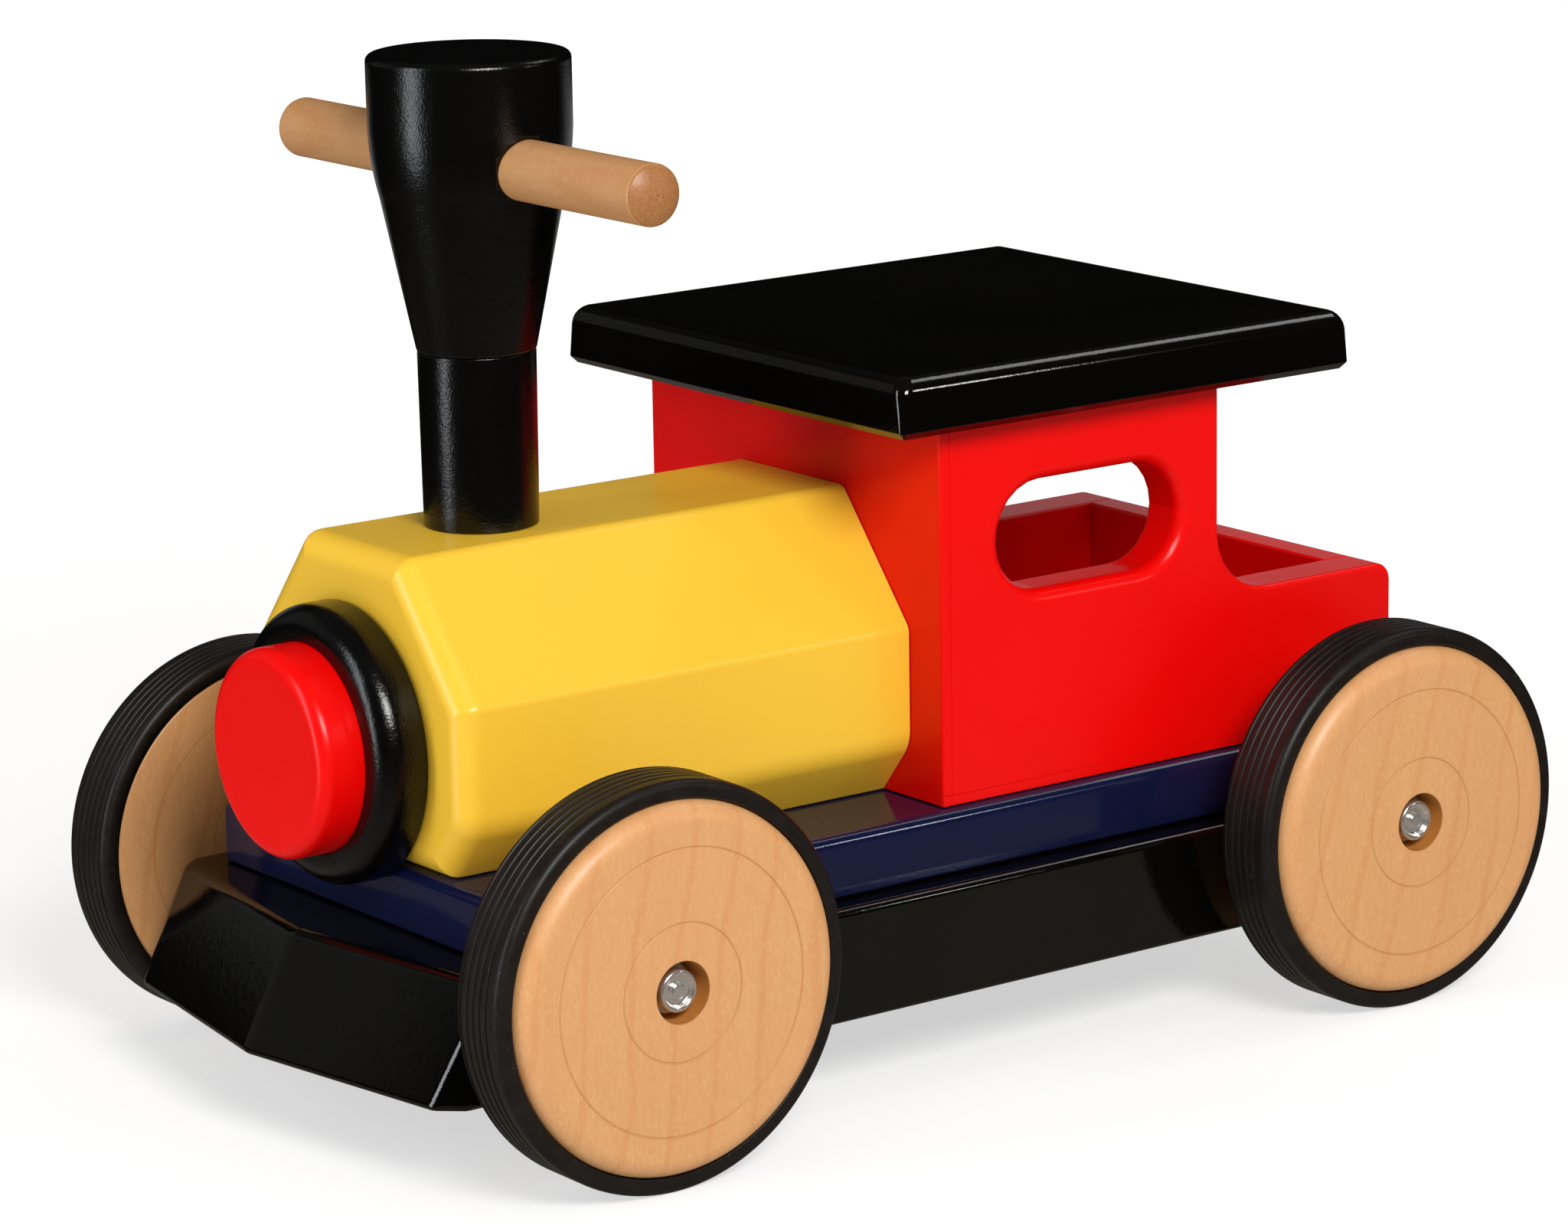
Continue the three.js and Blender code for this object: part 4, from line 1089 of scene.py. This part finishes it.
def studio_world():
    """White to the camera, a soft surround for diffuse light and a dark room in reflections."""
    world = bpy.data.worlds.new("studio")
    world.use_nodes = True
    world.cycles.sampling_method = "NONE"
    tree = world.node_tree
    links = tree.links
    fill = tree.nodes["Background"]
    backdrop = tree.nodes.new("ShaderNodeBackground")
    backdrop.inputs["Color"].default_value = (1, 1, 1, 1)
    room = tree.nodes.new("ShaderNodeBackground")
    split = tree.nodes.new("ShaderNodeSeparateXYZ")
    links.new(tree.nodes.new("ShaderNodeTexCoord").outputs["Generated"], split.inputs[0])
    # (sine of the elevation, shade) pairs: soft light mostly from below, and a dim glow overhead.
    from_below = ((-1.0, 0.85), (-0.15, 0.62), (0.15, 0.36), (1.0, 0.34))
    overhead = ((-1.0, 0.004), (0.5, 0.004), (0.75, 0.05), (1.0, 0.05))
    for shades, target, tint in ((from_below, fill, (1, 0.97, 0.92)), (overhead, room, (1, 1, 1))):
        height = tree.nodes.new("ShaderNodeMapRange")
        height.inputs["From Min"].default_value = -1.0
        height.inputs["From Max"].default_value = 1.0
        ramp = tree.nodes.new("ShaderNodeValToRGB")
        elements = ramp.color_ramp.elements
        while len(elements) < len(shades):
            elements.new(0.5)
        for element, (sine, shade) in zip(elements, shades):
            element.position = (sine + 1) / 2
            element.color = (*(shade * channel for channel in tint), 1)
        links.new(split.outputs["Z"], height.inputs["Value"])
        links.new(height.outputs["Result"], ramp.inputs["Fac"])
        links.new(ramp.outputs["Color"], target.inputs["Color"])
    path = tree.nodes.new("ShaderNodeLightPath")
    seen = tree.nodes.new("ShaderNodeMixShader")
    mirrored = tree.nodes.new("ShaderNodeMixShader")
    links.new(path.outputs["Is Camera Ray"], seen.inputs["Fac"])
    links.new(fill.outputs[0], seen.inputs[1])
    links.new(backdrop.outputs[0], seen.inputs[2])
    links.new(path.outputs["Is Glossy Ray"], mirrored.inputs["Fac"])
    links.new(seen.outputs[0], mirrored.inputs[1])
    links.new(room.outputs[0], mirrored.inputs[2])
    links.new(mirrored.outputs[0], tree.nodes["World Output"].inputs["Surface"])
    bpy.context.scene.world = world


floor_plane("studio_floor", half=14, height=0, material=pale_floor(), shown=True)
floor_plane("floor_reflection", half=1.2, height=-0.0005, material=mirrored_floor(), shown=False)
studio_world()
# Name, azimuth, elevation, distance, size, power and tint.
softbox("key_softbox", 72, 33, 2.3, (0.9, 0.7), 45, (1, 0.985, 0.96))
softbox("front_softbox", -10, 8, 1.9, (0.4, 1.9), 16, (0.9, 0.95, 1))
softbox("edge_softbox", 127.5, 20, 2.4, (0.1, 0.26), 2.2)
softbox("rear_softbox", 172, 50, 2.3, (0.7, 0.5), 3.3)
softbox("side_card", -56, 20, 2.2, (1.6, 1.2), 0.7)
softbox("rim_card", 233.5, 5.6, 0.5, (1.0, 0.12), 0.12)

# ---------------------------------------------------------------------- camera
CAMERA_AT = (1.2613, 1.6890, 0.6501)
CAMERA_AZIMUTH, CAMERA_ELEVATION, CAMERA_ROLL = 53.4665, 13.1536, -0.9724
CAMERA_LENS, CAMERA_SENSOR, CAMERA_NEAR, CAMERA_FAR = 129.33, 36, 0.05, 60
roll = math.radians(CAMERA_ROLL)
forward = -direction(CAMERA_AZIMUTH, CAMERA_ELEVATION)
level_right = forward.cross(Vector((0, 0, 1))).normalized()
level_up = level_right.cross(forward)
camera_right = level_right * math.cos(roll) + level_up * math.sin(roll)
camera_up = level_up * math.cos(roll) - level_right * math.sin(roll)
camera_data = bpy.data.cameras.new("photo_camera")
camera_data.lens = CAMERA_LENS
camera_data.sensor_width = CAMERA_SENSOR
camera_data.clip_start = CAMERA_NEAR
camera_data.clip_end = CAMERA_FAR
camera = bpy.data.objects.new("photo_camera", camera_data)
axes = Matrix((camera_right, camera_up, -forward)).transposed()
camera.matrix_world = Matrix.Translation(CAMERA_AT) @ axes.to_4x4()
bpy.context.scene.collection.objects.link(camera)
bpy.context.scene.camera = camera
bpy.context.scene.view_settings.view_transform = "Standard"
